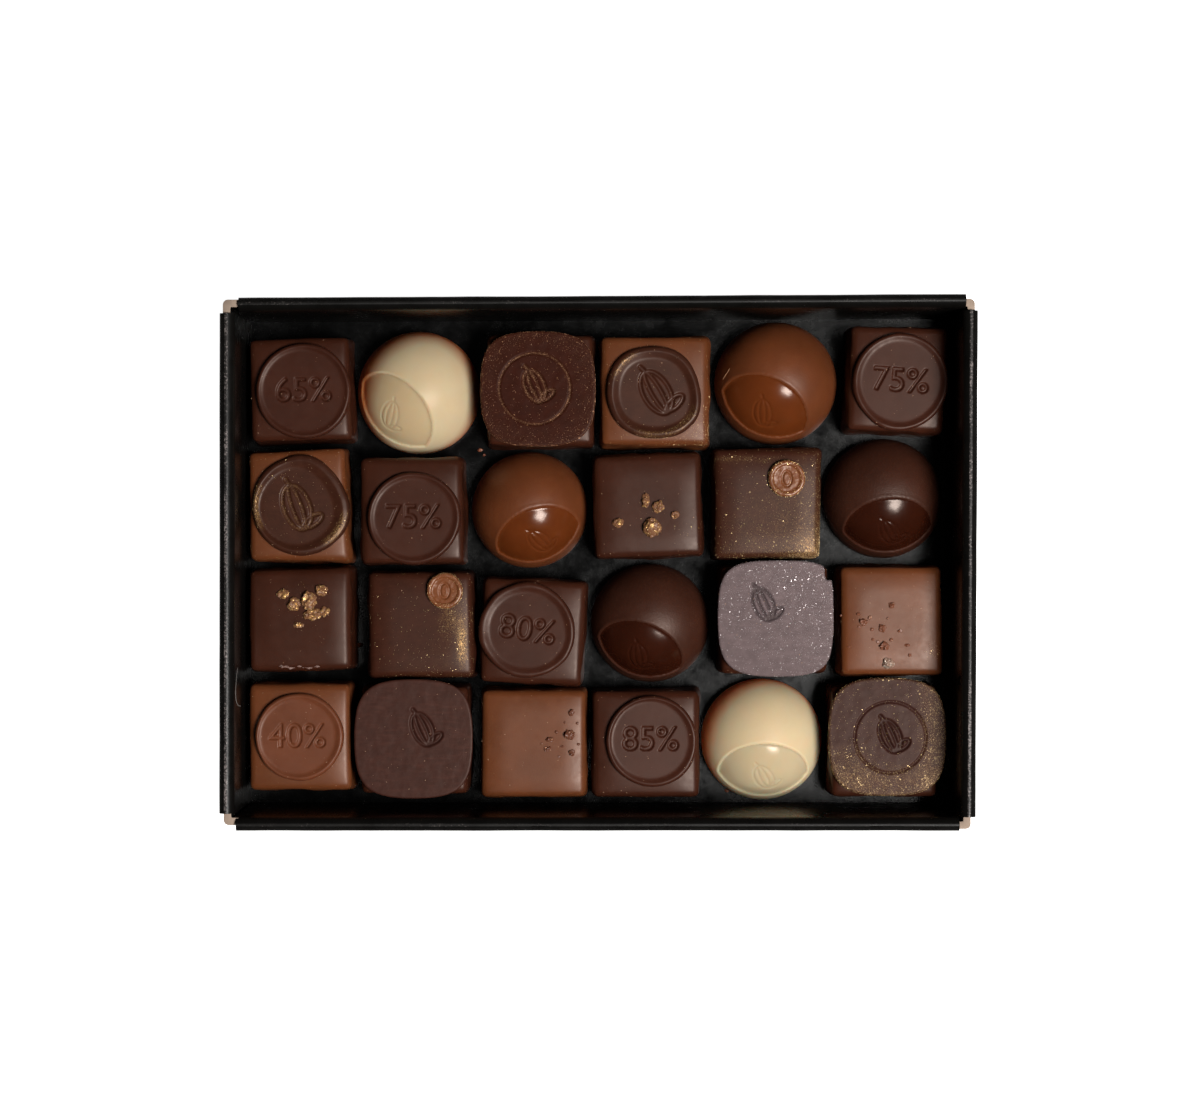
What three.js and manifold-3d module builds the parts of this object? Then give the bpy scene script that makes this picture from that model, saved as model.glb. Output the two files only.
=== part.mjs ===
// An open box of chocolate pralines: a black card tray with twenty-four pralines on its floor, in four rows of six.
// Millimetres. X runs along the tray, Y across it towards its back wall and Z up. The origin is the middle of the
// tray's underside. A piece's name ends in its row, counted from the back, and its column, counted from the left.

import * as THREE from 'three';
import { mergeVertices } from 'three/addons/utils/BufferGeometryUtils.js';
import Module from 'manifold-3d';

// The tray: its four outer corners in plan, anticlockwise from the back left, a little out of square
const TRAY_HEIGHT = 32;
const FLOOR = 1.6;
const BACK_LEFT = [-89.8, 62.7];
const FRONT_LEFT = [-89.9, -63.6];
const FRONT_RIGHT = [89.3, -63.6];
const BACK_RIGHT = [89.9, 63.6];
const FLOOR_INSET = 1.5;

// Each wall is card folded over on itself. Its top is a low ridge, where the worn crease runs.
const SIDE_THICKNESS = 3.2;
const END_THICKNESS = 3.6;
const RIDGE_RISE = 0.9;
const RIDGE_SHARE = 0.45;
const FRONT_LEAN = 0.9;

// The folded tops stop short of the corners, where the bare board shows as a lower, rounded angle
const CORNER_BOARD = 1.8;
const CORNER_DROP = 1.2;
const CORNER_RADIUS = 1.4;

// The pralines
const BLOCK_HEIGHT = 14.6;
const PLATE_BLOCK_HEIGHT = 15.2;
const BLOCK_CORNER = 2.4;
const FOOT_SPREAD = 0.35;
const FOOT_RISE = 1.5;
const SIDE_BULGE = 0.35;
const TOP_ROUNDING = 2.0;
const BALL_CENTRE = 2.2;
const PANEL_TILT = 48;
const PANEL_HALF_ANGLE = 48;
const PANEL_DEPTH = 0.45;
const SEAL_HEIGHT = 1.7;
const SEAL_FACE = 0.9;
const SEAL_RIM = 2.5;
const PLATE_THICKNESS = 1.8;
const PLATE_POWER = 3;
const BUTTON_HEIGHT = 1.5;

// How finely the round shapes are cut
const CORNER_STEPS = 3;
const SIDE_STEPS = 4;
const ROUND_SIDES = 28;
const BUTTON_SIDES = 20;

const DARK = new THREE.MeshStandardMaterial({ color: 0x462d28, roughness: 0.42 });
const MILK = new THREE.MeshStandardMaterial({ color: 0x6b402d, roughness: 0.42 });
const WHITE = new THREE.MeshStandardMaterial({ color: 0xd2be98, roughness: 0.38 });
const BRONZE = new THREE.MeshStandardMaterial({ color: 0x523830, roughness: 0.5, metalness: 0.2 });
const SILVER = new THREE.MeshStandardMaterial({ color: 0x7d6e6e, roughness: 0.5, metalness: 0.3 });
const CARD = new THREE.MeshStandardMaterial({ color: 0x141312, roughness: 0.55 });

// Square pralines: the middle, and the corners of the sides about it, anticlockwise from the back left
const BLOCKS = [
  { place: '1_1', at: [-72.5, 42.0], corners: [[-12.5, 12.1], [-11.7, -12.8], [12.6, -12.1], [11.6, 12.8]], of: DARK },
  { place: '1_3', at: [-14.1, 41.8], corners: [[-12.8, 13.4], [-12.8, -13.4], [12.8, -13.4], [12.8, 13.4]], of: DARK },
  { place: '1_4', at: [13.7, 41.6], corners: [[-13.2, 13.2], [-13.1, -13.2], [13.1, -13.2], [13.0, 13.2]], of: MILK },
  { place: '1_6', at: [72.4, 44.5], corners: [[-10.9, 13.0], [-12.6, -11.8], [10.6, -13.7], [12.8, 12.3]], of: DARK },
  { place: '2_1', at: [-72.9, 13.9], corners: [[-12.2, 12.7], [-11.7, -13.4], [12.5, -13.7], [11.1, 14.0]], of: MILK },
  { place: '2_2', at: [-45.4, 12.3], corners: [[-12.6, 13.0], [-12.1, -12.7], [12.8, -12.5], [12.1, 13.1]], of: DARK },
  { place: '2_4', at: [12.0, 13.8], corners: [[-13.4, 11.7], [-12.7, -13.1], [13.6, -11.9], [12.4, 13.2]], of: DARK },
  { place: '2_5', at: [41.0, 14.3], corners: [[-12.8, 13.1], [-12.9, -13.4], [12.7, -13.2], [13.1, 13.4]], of: BRONZE },
  { place: '3_1', at: [-72.5, -13.9], corners: [[-12.5, 11.8], [-12.3, -12.6], [12.6, -12.0], [12.2, 12.8]], of: DARK },
  { place: '3_2', at: [-43.2, -14.9], corners: [[-12.8, 12.5], [-12.5, -13.0], [13.0, -13.1], [12.3, 12.5]], of: BRONZE },
  { place: '3_3', at: [-15.9, -16.9], corners: [[-11.8, 13.2], [-13.0, -12.0], [11.5, -13.1], [13.1, 12.0]], of: DARK },
  { place: '3_5', at: [42.6, -13.9], corners: [[-12.9, 12.9], [-12.8, -12.9], [12.8, -12.8], [12.9, 12.9]], of: DARK },
  { place: '3_6', at: [71.1, -14.3], corners: [[-12.6, 13.0], [-12.1, -13.2], [12.6, -13.1], [12.1, 13.3]], of: MILK },
  { place: '4_1', at: [-72.5, -42.4], corners: [[-12.4, 12.8], [-12.3, -12.9], [12.6, -12.9], [12.1, 12.9]], of: MILK },
  { place: '4_2', at: [-44.6, -43.2], corners: [[-12.8, 13.0], [-12.9, -12.9], [12.8, -13.0], [12.9, 12.9]], of: DARK },
  { place: '4_3', at: [-15.6, -44.0], corners: [[-12.9, 12.8], [-13.1, -13.0], [12.7, -12.9], [12.6, 13.0]], of: MILK },
  { place: '4_4', at: [11.5, -44.2], corners: [[-13.0, 12.9], [-12.9, -12.9], [13.0, -12.9], [12.8, 13.0]], of: DARK },
  { place: '4_6', at: [69.3, -43.4], corners: [[-12.8, 13.3], [-12.9, -13.5], [12.7, -13.5], [12.6, 13.3]], of: DARK },
];

// Domed pralines, each with a round, slightly sunken panel that leans to one side, given as a bearing from +X
const BALLS = [
  { place: '1_2', at: [-44.0, 42.2], radius: 14.8, bearing: -136, of: WHITE },
  { place: '1_5', at: [43.8, 44.3], radius: 15.1, bearing: -116, of: MILK },
  { place: '2_3', at: [-17.0, 13.2], radius: 14.3, bearing: -71, of: MILK },
  { place: '2_6', at: [70.1, 16.1], radius: 14.7, bearing: -86, of: DARK },
  { place: '3_4', at: [12.7, -14.7], radius: 14.6, bearing: -111, of: DARK },
  { place: '4_5', at: [40.4, -43.1], radius: 14.7, bearing: -90, of: WHITE },
];

// Round seals on the square pralines. Swell is how far the pressed-out rim strays from a circle.
const SEALS = [
  { place: '1_1', at: [-71.6, 41.5], radius: 11.6, swell: 0.1, of: DARK },
  { place: '1_4', at: [13.9, 41.4], radius: 11.7, swell: 0.5, of: DARK },
  { place: '1_6', at: [73.2, 43.9], radius: 11.8, swell: 0.15, of: DARK },
  { place: '2_1', at: [-72.4, 13.5], radius: 12.0, swell: 0.35, of: DARK },
  { place: '2_2', at: [-44.8, 10.7], radius: 11.3, swell: 0.1, of: DARK },
  { place: '3_3', at: [-17.4, -16.4], radius: 11.6, swell: 0.15, of: DARK },
  { place: '4_1', at: [-72.7, -42.3], radius: 10.7, swell: 0.15, of: MILK },
  { place: '4_4', at: [12.8, -43.3], radius: 11.1, swell: 0.1, of: DARK },
];

// Thin moulded plates that lie on their square pralines and reach past them
const PLATES = [
  { place: '1_3', at: [-14.7, 42.0], size: [28.2, 28.1], of: BRONZE },
  { place: '3_5', at: [42.8, -13.6], size: [28.3, 28.4], of: SILVER },
  { place: '4_2', at: [-44.8, -42.7], size: [29.0, 29.2], of: DARK },
  { place: '4_6', at: [69.8, -42.2], size: [28.8, 28.8], of: BRONZE },
];
const CHIP = { plate: '3_5', at: [13.2, 11.2], size: [2.4, 3.2], turn: 12 };

const BUTTONS = [
  { place: '2_5', at: [45.6, 20.4], radius: 4.5, of: MILK },
  { place: '3_2', at: [-37.3, -6.9], radius: 4.4, of: MILK },
];

// Bits strewn on four of the square pralines: place, then length and width of each
const NIBS = {
  '2_4': [[11.4, 14.9, 2.2, 3.4], [14.4, 13.5, 2.7, 3.1], [18.4, 11.5, 1.9, 1.9], [12.9, 8.4, 4.4, 4.6], [4.7, 9.6, 2.9, 2.2]],
  '3_1': [
    [-76.5, -7.7, 3.1, 2.4], [-73.9, -10.1, 3.1, 2.9], [-70.2, -9.3, 3.6, 4.6], [-67.3, -6.7, 2.9, 2.7],
    [-69.3, -12.6, 4.4, 2.9], [-66.3, -12.0, 2.2, 2.2], [-72.8, -15.2, 2.7, 1.5],
  ],
  '3_6': [[70.3, -24.6, 3.4, 2.4], [71.1, -10.3, 1.7, 1.5], [64.3, -14.5, 1.9, 1.7], [68.6, -16.1, 1.9, 1.7], [69.1, -20.3, 1.7, 1.5]],
  '4_3': [[-6.6, -36.5, 1.7, 1.5], [-7.1, -41.8, 2.9, 2.7], [-11.7, -43.0, 1.7, 1.5], [-12.3, -45.4, 1.9, 1.5], [-6.5, -46.2, 1.7, 1.7]],
};
const NIB_HEIGHT_SHARE = 0.4;
const NIB_SUNK_SHARE = 0.3;

const wasm = await Module();
wasm.setup();

// Repeatable draws from 0 to 1
function draws(seed) {
  let state = seed;
  return () => {
    state = (state * 1664525 + 1013904223) % 4294967296;
    return state / 4294967296;
  };
}

// A closed skin over rings of points. Each ring turns anticlockwise about the way from the first ring to the last.
function loft(rings) {
  const sides = rings[0].length;
  const points = rings.flat();
  const faces = [];
  for (let ring = 0; ring + 1 < rings.length; ring++) {
    for (let i = 0; i < sides; i++) {
      const a = ring * sides + i;
      const b = ring * sides + ((i + 1) % sides);
      faces.push(a, b, b + sides, a, b + sides, a + sides);
    }
  }
  const last = (rings.length - 1) * sides;
  points.push(middleOf(rings[0]), middleOf(rings[rings.length - 1]));
  for (let i = 0; i < sides; i++) {
    const next = (i + 1) % sides;
    faces.push(points.length - 2, next, i);
    faces.push(points.length - 1, last + i, last + next);
  }
  const geometry = new THREE.BufferGeometry().setFromPoints(points);
  geometry.setIndex(faces);
  return geometry;
}

function middleOf(ring) {
  const middle = new THREE.Vector3();
  ring.forEach((point) => middle.add(point));
  return middle.divideScalar(ring.length);
}

// three.js geometry as a solid for cutting and joining, and back
function solid(geometry) {
  const bare = geometry.clone();
  bare.deleteAttribute('normal');
  bare.deleteAttribute('uv');
  const merged = mergeVertices(bare, 1e-4);
  const vertProperties = new Float32Array(merged.attributes.position.array);
  const triVerts = new Uint32Array(merged.index.array);
  return new wasm.Manifold(new wasm.Mesh({ numProp: 3, vertProperties, triVerts }));
}

function geometryOf(manifold) {
  const mesh = manifold.getMesh();
  const geometry = new THREE.BufferGeometry();
  geometry.setAttribute('position', new THREE.BufferAttribute(mesh.vertProperties, 3));
  geometry.setIndex(new THREE.BufferAttribute(mesh.triVerts, 1));
  return geometry;
}

// A straight folded wall along its outer line, with the tray's inside on its left
function wall(from, to, thickness, lean) {
  const start = new THREE.Vector3(from[0], from[1], 0);
  const end = new THREE.Vector3(to[0], to[1], 0);
  const along = end.clone().sub(start).normalize();
  const inward = new THREE.Vector3(-along.y, along.x, 0);
  const shoulder = TRAY_HEIGHT - RIDGE_RISE;
  const section = [[0, 0], [thickness + lean, 0], [thickness, shoulder], [thickness * RIDGE_SHARE, TRAY_HEIGHT], [0, shoulder]];
  const ring = (foot) => section.map(([across, up]) => foot.clone().addScaledVector(inward, across).setZ(up));
  return solid(loft([ring(start), ring(end)]));
}

// The L-shaped board that shows in a corner: its outer corner, and how far its two arms reach
function cornerBoard([x, y], reachX, reachY) {
  const inX = -Math.sign(x);
  const inY = -Math.sign(y);
  const thick = CORNER_BOARD;
  const outline = [[0, reachY], [0, 0], [reachX, 0], [reachX, thick], [thick, thick], [thick, reachY]];
  const shape = new THREE.Shape();
  shape.moveTo(x + inX * outline[0][0], y + inY * outline[0][1]);
  shape.lineTo(x, y + inY * CORNER_RADIUS);
  shape.quadraticCurveTo(x, y, x + inX * CORNER_RADIUS, y);
  outline.slice(2).forEach(([along, across]) => shape.lineTo(x + inX * along, y + inY * across));
  shape.closePath();
  return solid(new THREE.ExtrudeGeometry(shape, { depth: TRAY_HEIGHT - CORNER_DROP, bevelEnabled: false, curveSegments: 5 }));
}

// The floor ends inside the walls and the corner boards, which all reach down beside it
function floorBoard() {
  const drawnIn = (value) => value - Math.sign(value) * FLOOR_INSET;
  const corners = [BACK_LEFT, FRONT_LEFT, FRONT_RIGHT, BACK_RIGHT].map((corner) => new THREE.Vector2(...corner.map(drawnIn)));
  return solid(new THREE.ExtrudeGeometry(new THREE.Shape(corners), { depth: FLOOR, bevelEnabled: false }));
}

// A point between two plan corners, a given way from the first
function onSide(from, to, reach) {
  const length = Math.hypot(to[0] - from[0], to[1] - from[1]);
  return [from[0] + ((to[0] - from[0]) * reach) / length, from[1] + ((to[1] - from[1]) * reach) / length];
}

function tray() {
  const pieces = [
    floorBoard(),
    wall(onSide(BACK_LEFT, FRONT_LEFT, 3.7), onSide(FRONT_LEFT, BACK_LEFT, 4.1), END_THICKNESS, 0),
    wall(onSide(FRONT_LEFT, FRONT_RIGHT, 4.0), onSide(FRONT_RIGHT, FRONT_LEFT, 3.9), SIDE_THICKNESS, FRONT_LEAN),
    wall(onSide(FRONT_RIGHT, BACK_RIGHT, 3.3), onSide(BACK_RIGHT, FRONT_RIGHT, 3.9), END_THICKNESS, 0),
    wall(onSide(BACK_RIGHT, BACK_LEFT, 2.9), onSide(BACK_LEFT, BACK_RIGHT, 4.5), SIDE_THICKNESS, 0),
    cornerBoard([-89.1, 62.3], 4.2, 3.8),
    cornerBoard([-88.9, -62.3], 3.6, 3.4),
    cornerBoard([88.2, -63.2], 3.3, 3.4),
    cornerBoard([89.2, 62.5], 2.8, 3.2),
  ];
  return geometryOf(pieces.reduce((joined, piece) => joined.add(piece)));
}

// A block's outline at one level: its corners drawn in by a distance, rounded, with sides that swell outwards
function blockRing(corners, inset, height, bulges) {
  const count = corners.length;
  const middle = middleOf(corners);
  const drawn = corners.map((corner) => corner.clone().sub(middle));
  drawn.forEach((corner) => corner.set(corner.x - Math.sign(corner.x) * inset, corner.y - Math.sign(corner.y) * inset, 0));
  const ring = [];
  drawn.forEach((corner, i) => {
    const before = drawn[(i + count - 1) % count].clone().sub(corner).setLength(BLOCK_CORNER).add(corner);
    const after = drawn[(i + 1) % count].clone().sub(corner).setLength(BLOCK_CORNER).add(corner);
    const bend = new THREE.QuadraticBezierCurve3(before, corner, after);
    ring.push(...bend.getPoints(CORNER_STEPS));
    const next = drawn[(i + 1) % count];
    const nextBefore = corner.clone().sub(next).setLength(BLOCK_CORNER).add(next);
    const outward = new THREE.Vector3(next.y - corner.y, corner.x - next.x, 0).normalize();
    for (let step = 1; step < SIDE_STEPS; step++) {
      const share = step / SIDE_STEPS;
      const swell = bulges[i] * Math.sin(Math.PI * share);
      ring.push(after.clone().lerp(nextBefore, share).addScaledVector(outward, swell));
    }
  });
  return ring.map((point) => point.add(middle).setZ(height));
}

function blockHeight(place) {
  return PLATES.some((plate) => plate.place === place) ? PLATE_BLOCK_HEIGHT : BLOCK_HEIGHT;
}

// A block of filling coated in chocolate: spread at its foot, and rounded where its sides meet its top
function block({ place, at, corners }, seed) {
  const height = blockHeight(place);
  const random = draws(seed);
  const bulges = corners.map(() => SIDE_BULGE * (0.3 + random()));
  const placed = corners.map(([x, y]) => new THREE.Vector3(at[0] + x, at[1] + y, 0));
  const levels = [
    [0, -FOOT_SPREAD],
    [FOOT_RISE, 0],
    [height - TOP_ROUNDING, 0.05],
    [height - TOP_ROUNDING * 0.3, TOP_ROUNDING * 0.28],
    [height, TOP_ROUNDING * 0.9],
  ];
  return loft(levels.map(([up, inset]) => blockRing(placed, inset, FLOOR + up, bulges)));
}

// A rough bit, sunk into the top of its block
function nib([x, y, long, wide], random) {
  const geometry = new THREE.IcosahedronGeometry(0.5, 0);
  geometry.deleteAttribute('normal');
  geometry.deleteAttribute('uv');
  const lump = mergeVertices(geometry);
  const points = lump.attributes.position;
  for (let i = 0; i < points.count; i++) {
    const stretch = 0.85 + 0.3 * random();
    points.setXYZ(i, points.getX(i) * stretch, points.getY(i) * stretch, points.getZ(i) * stretch);
  }
  const high = Math.min(long, wide) * NIB_HEIGHT_SHARE * 2;
  lump.rotateZ(random() * Math.PI);
  lump.scale(long, wide, high);
  lump.translate(x, y, FLOOR + BLOCK_HEIGHT + high * (0.5 - NIB_SUNK_SHARE));
  return solid(lump);
}

function withNibs(geometry, nibs, seed) {
  const random = draws(seed);
  return geometryOf(nibs.reduce((joined, row) => joined.add(nib(row, random)), solid(geometry)));
}

// A dome: a ball turned about its panel's axis, then cut off flat where it stands
function ball({ at, radius, bearing }) {
  const rad = THREE.MathUtils.degToRad;
  const ballAngles = [180, 150, 124, 104, 88, 73, 60, PANEL_HALF_ANGLE + 2];
  const panelAngles = [PANEL_HALF_ANGLE - 1.5, PANEL_HALF_ANGLE * 0.62, PANEL_HALF_ANGLE * 0.28, 0];
  const onCircle = (angle, r) => new THREE.Vector2(Math.abs(r * Math.sin(rad(angle))), r * Math.cos(rad(angle)));
  const profile = [
    ...ballAngles.map((angle) => onCircle(angle, radius)),
    ...panelAngles.map((angle) => onCircle(angle, radius - PANEL_DEPTH)),
  ];
  profile[0].x = 0;
  profile[profile.length - 1].x = 0;
  const geometry = new THREE.LatheGeometry(profile, ROUND_SIDES);
  geometry.rotateX(Math.PI / 2);
  geometry.rotateY(rad(PANEL_TILT));
  geometry.rotateZ(rad(bearing));
  geometry.translate(at[0], at[1], FLOOR + BALL_CENTRE);
  const below = new THREE.BoxGeometry(4 * radius, 4 * radius, 2 * radius);
  below.translate(at[0], at[1], FLOOR - radius);
  return geometryOf(solid(geometry).subtract(solid(below)));
}

// A round disc about its middle, with rings given as height, how far in from the edge, and share of the swell
function disc([x, y], radius, swell, levels, base, sides, seed) {
  const random = draws(seed);
  const turns = [2, 3, 5].map((waves) => ({ waves, phase: random() * 2 * Math.PI, size: 0.4 + 0.6 * random() }));
  const rings = levels.map(([up, inset, share]) => {
    const ring = [];
    for (let i = 0; i < sides; i++) {
      const angle = (2 * Math.PI * i) / sides;
      const stray = turns.reduce((sum, { waves, phase, size }) => sum + size * Math.cos(waves * angle + phase), 0);
      const r = radius - inset + (swell * share * stray) / 1.5;
      ring.push(new THREE.Vector3(x + r * Math.cos(angle), y + r * Math.sin(angle), base + up));
    }
    return ring;
  });
  return loft(rings);
}

function seal({ at, radius, swell }, seed) {
  const levels = [[0, 0.35, 1], [SEAL_HEIGHT * 0.5, 0, 1], [SEAL_HEIGHT, SEAL_RIM * 0.5, 0.7], [SEAL_FACE, SEAL_RIM, 0]];
  return disc(at, radius, swell, levels, FLOOR + BLOCK_HEIGHT, ROUND_SIDES, seed);
}

function button({ at, radius }, seed) {
  const levels = [[0, 0.15, 1], [BUTTON_HEIGHT * 0.5, 0, 1], [BUTTON_HEIGHT, 0.8, 0.5], [BUTTON_HEIGHT - 0.4, 1.5, 0]];
  return disc(at, radius, 0.12, levels, FLOOR + BLOCK_HEIGHT, BUTTON_SIDES, seed);
}

// A thin plate, between a square and a circle in outline
function plate({ place, at, size }) {
  const levels = [[0, 0.35], [PLATE_THICKNESS * 0.3, 0], [PLATE_THICKNESS * 0.75, 0], [PLATE_THICKNESS, 0.45]];
  const base = FLOOR + PLATE_BLOCK_HEIGHT;
  const rings = levels.map(([up, inset]) => {
    const ring = [];
    for (let i = 0; i < ROUND_SIDES; i++) {
      const angle = (2 * Math.PI * i) / ROUND_SIDES;
      const along = Math.cos(angle);
      const across = Math.sin(angle);
      const reach = (Math.abs(along) ** PLATE_POWER + Math.abs(across) ** PLATE_POWER) ** (-1 / PLATE_POWER);
      const x = at[0] + (size[0] / 2 - inset) * reach * along;
      const y = at[1] + (size[1] / 2 - inset) * reach * across;
      ring.push(new THREE.Vector3(x, y, base + up));
    }
    return ring;
  });
  const whole = loft(rings);
  if (place !== CHIP.plate) return whole;
  const bite = new THREE.BoxGeometry(CHIP.size[0], CHIP.size[1], 3 * PLATE_THICKNESS);
  bite.rotateZ(THREE.MathUtils.degToRad(CHIP.turn));
  bite.translate(at[0] + CHIP.at[0], at[1] + CHIP.at[1], base);
  return geometryOf(solid(whole).subtract(solid(bite)));
}

const box = new THREE.Group();

function add(name, geometry, material) {
  const mesh = new THREE.Mesh(geometry, material);
  mesh.name = name;
  box.add(mesh);
}

add('tray', tray(), CARD);
BLOCKS.forEach((row, i) => {
  const plain = block(row, 11 + i);
  const nibs = NIBS[row.place];
  add(`block_${row.place}`, nibs ? withNibs(plain, nibs, 71 + i) : plain, row.of);
});
BALLS.forEach((row) => add(`ball_${row.place}`, ball(row), row.of));
SEALS.forEach((row, i) => add(`seal_${row.place}`, seal(row, 31 + i), row.of));
PLATES.forEach((row) => add(`plate_${row.place}`, plate(row), row.of));
BUTTONS.forEach((row, i) => add(`button_${row.place}`, button(row, 51 + i), row.of));

export default box;
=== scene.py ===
# %% [markdown]
# # An open box of chocolate pralines
# A shallow tray of black card holds twenty-four pralines in four rows of six. This lesson dresses a plain
# model of them, the frame, with the surfaces that the eye reads as chocolate, metal dust and worn card. The
# frame fixes every place and size. Each piece here takes its place from the frame's boxes, so nothing is
# fitted by eye afterwards.

# %% Load the frame
import math
from contextlib import contextmanager

import bmesh
import bpy
from mathutils import Matrix, Vector


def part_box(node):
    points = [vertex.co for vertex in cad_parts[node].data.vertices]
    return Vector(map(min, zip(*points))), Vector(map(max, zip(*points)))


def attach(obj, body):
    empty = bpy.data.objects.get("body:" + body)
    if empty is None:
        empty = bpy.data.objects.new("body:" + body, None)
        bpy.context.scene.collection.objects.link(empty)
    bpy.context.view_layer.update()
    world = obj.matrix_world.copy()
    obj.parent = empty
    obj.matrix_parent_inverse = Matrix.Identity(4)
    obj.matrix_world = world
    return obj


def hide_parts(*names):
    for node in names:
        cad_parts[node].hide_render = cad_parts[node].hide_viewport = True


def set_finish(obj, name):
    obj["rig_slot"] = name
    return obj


MM = 0.001
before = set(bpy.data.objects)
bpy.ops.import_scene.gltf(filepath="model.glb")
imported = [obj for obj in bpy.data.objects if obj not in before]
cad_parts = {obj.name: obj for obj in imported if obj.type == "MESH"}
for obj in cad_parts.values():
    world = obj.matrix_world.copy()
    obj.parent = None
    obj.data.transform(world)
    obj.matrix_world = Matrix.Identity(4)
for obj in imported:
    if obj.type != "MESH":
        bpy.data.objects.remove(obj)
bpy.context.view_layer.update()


# %% [markdown]
# ## Working by hand, in code
# Blender's operators act on what is selected, so a few small helpers do the selecting. One makes an object
# the only selected one, one opens edit mode and closes it again, and one picks corners, edges or faces by
# where they are. Modifiers are added, set and applied in one go, so that every finished piece is a plain
# mesh.

# %% Helpers for selecting and applying
def nothing_selected():
    bpy.ops.object.select_all(action="DESELECT")


def alone(piece):
    nothing_selected()
    piece.select_set(True)
    bpy.context.view_layer.objects.active = piece
    return piece


def named(name):
    piece = bpy.context.active_object
    piece.name = name
    piece.data.name = name
    return piece


def settle(piece):
    """Puts the piece's place, turn and size into its mesh, so that its object sits at the origin."""
    alone(piece)
    bpy.ops.object.transform_apply(location=True, rotation=True, scale=True)
    return piece


@contextmanager
def editing(piece, kind):
    alone(piece)
    bpy.ops.object.mode_set(mode="EDIT")
    bpy.ops.mesh.select_mode(type=kind)
    yield bmesh.from_edit_mesh(piece.data)
    bpy.ops.object.mode_set(mode="OBJECT")


def choose(mesh, parts, test):
    """Selects the vertices, edges or faces for which the test of their middle is true."""
    for group in (mesh.verts, mesh.edges, mesh.faces):
        for part in group:
            part.select = False
    for part in parts:
        corners = [part.co] if isinstance(part, bmesh.types.BMVert) else [v.co for v in part.verts]
        if test(sum(corners, Vector()) / len(corners), part):
            part.select_set(True)
    return mesh


def modify(piece, kind, **settings):
    alone(piece)
    bpy.ops.object.modifier_add(type=kind)
    modifier = piece.modifiers[-1]
    for key, value in settings.items():
        setattr(modifier, key, value)
    bpy.ops.object.modifier_apply(modifier=modifier.name)
    return piece


def join(pieces):
    """Joins the pieces into the first."""
    nothing_selected()
    for piece in pieces:
        piece.select_set(True)
    bpy.context.view_layer.objects.active = pieces[0]
    if len(pieces) > 1:
        bpy.ops.object.join()
    return pieces[0]


def remove(*pieces):
    for piece in pieces:
        bpy.data.objects.remove(piece, do_unlink=True)


def smooth(piece, angle=180):
    alone(piece)
    if angle < 180:
        bpy.ops.object.shade_smooth_by_angle(angle=math.radians(angle))
    else:
        bpy.ops.object.shade_smooth()
    return piece


def finished(piece, material, slot, *nodes):
    """Gives the piece its finish and its place in the frame."""
    if not piece.data.materials:
        piece.data.materials.append(material)
    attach(piece, "root")
    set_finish(piece, slot)
    if nodes:
        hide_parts(*nodes)
    return piece


# %% [markdown]
# ## Chocolate
# Set chocolate is a dense, slightly waxy solid. Its brown is warm and deep, a little light travels under
# its skin, and its broad, soft shine pales the faces that look at the lamp. So one recipe serves all kinds:
# a base colour that drifts gently, a touch of light under the surface, a shine broken up by fine grain, and
# a few pale specks of dust. All patterns read Object coordinates, because every mesh is already in its true
# place and at its true size.

# %% Node helpers
def linear(red, green, blue):
    """A colour as a screen shows it, 0 to 255, turned into the amounts of light that a shader works in."""
    channels = (red, green, blue)
    return tuple(((v / 255 + 0.055) / 1.055) ** 2.4 if v > 10 else v / 3294 for v in channels)


def feed(socket, value):
    """Links the value, if it comes from another node, or fills it in."""
    if isinstance(value, bpy.types.NodeSocket):
        socket.id_data.links.new(value, socket)
    else:
        socket.default_value = value


def new_node(tree, kind, inputs, settings):
    """Makes a node, sets it up, feeds its inputs and gives back its outputs."""
    made = tree.nodes.new(kind)
    for key, value in settings.items():
        setattr(made, key, value)
    for key, value in (inputs or {}).items():
        feed(made.inputs[key], value)
    return made.outputs


class Recipe:
    """A material's nodes, laid out by short calls."""

    def __init__(self, name):
        self.material = bpy.data.materials.new(name)
        self.material.use_nodes = True
        self.tree = self.material.node_tree
        self.shader = self.tree.nodes["Principled BSDF"]
        self.place = self.tree.nodes.new("ShaderNodeTexCoord").outputs["Object"]

    def node(self, kind, inputs=None, **settings):
        return new_node(self.tree, kind, inputs, settings)

    def noise(self, size_mm, detail=2.0, rough=0.5, at=None):
        inputs = {"Vector": at or self.place, "Scale": 1 / (size_mm * MM)}
        inputs |= {"Detail": detail, "Roughness": rough}
        return self.node("ShaderNodeTexNoise", inputs)["Fac"]

    def painted(self, name):
        """The number of that name painted on the mesh."""
        return self.node("ShaderNodeAttribute", attribute_name=name)["Fac"]

    def ramp(self, value, low, high, start=0.0, end=1.0):
        inputs = {"Value": value, "From Min": low, "From Max": high, "To Min": start, "To Max": end}
        return self.node("ShaderNodeMapRange", inputs)["Result"]

    def math(self, kind, a, b=0.0, clamp=False):
        return self.node("ShaderNodeMath", {0: a, 1: b}, operation=kind, use_clamp=clamp)[0]

    def blend(self, share, first, second):
        return self.node("ShaderNodeMix", {0: share, 6: first, 7: second}, data_type="RGBA")[2]

    def bump(self, height, depth_mm, after=None):
        inputs = {"Height": height, "Distance": depth_mm * MM, "Strength": 1.0}
        if after:
            inputs["Normal"] = after
        return self.node("ShaderNodeBump", inputs)["Normal"]

    def set(self, **inputs):
        for key, value in inputs.items():
            feed(self.shader.inputs[key.replace("_", " ")], value)
        return self.material


# %% Chocolate finishes
def colour(rgb, factor=1.0):
    return tuple(channel * factor for channel in rgb) + (1.0,)


SHEEN = (1.0, 0.84, 0.76, 1.0)
DEEP = (1.0, 0.42, 0.2)


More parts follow.
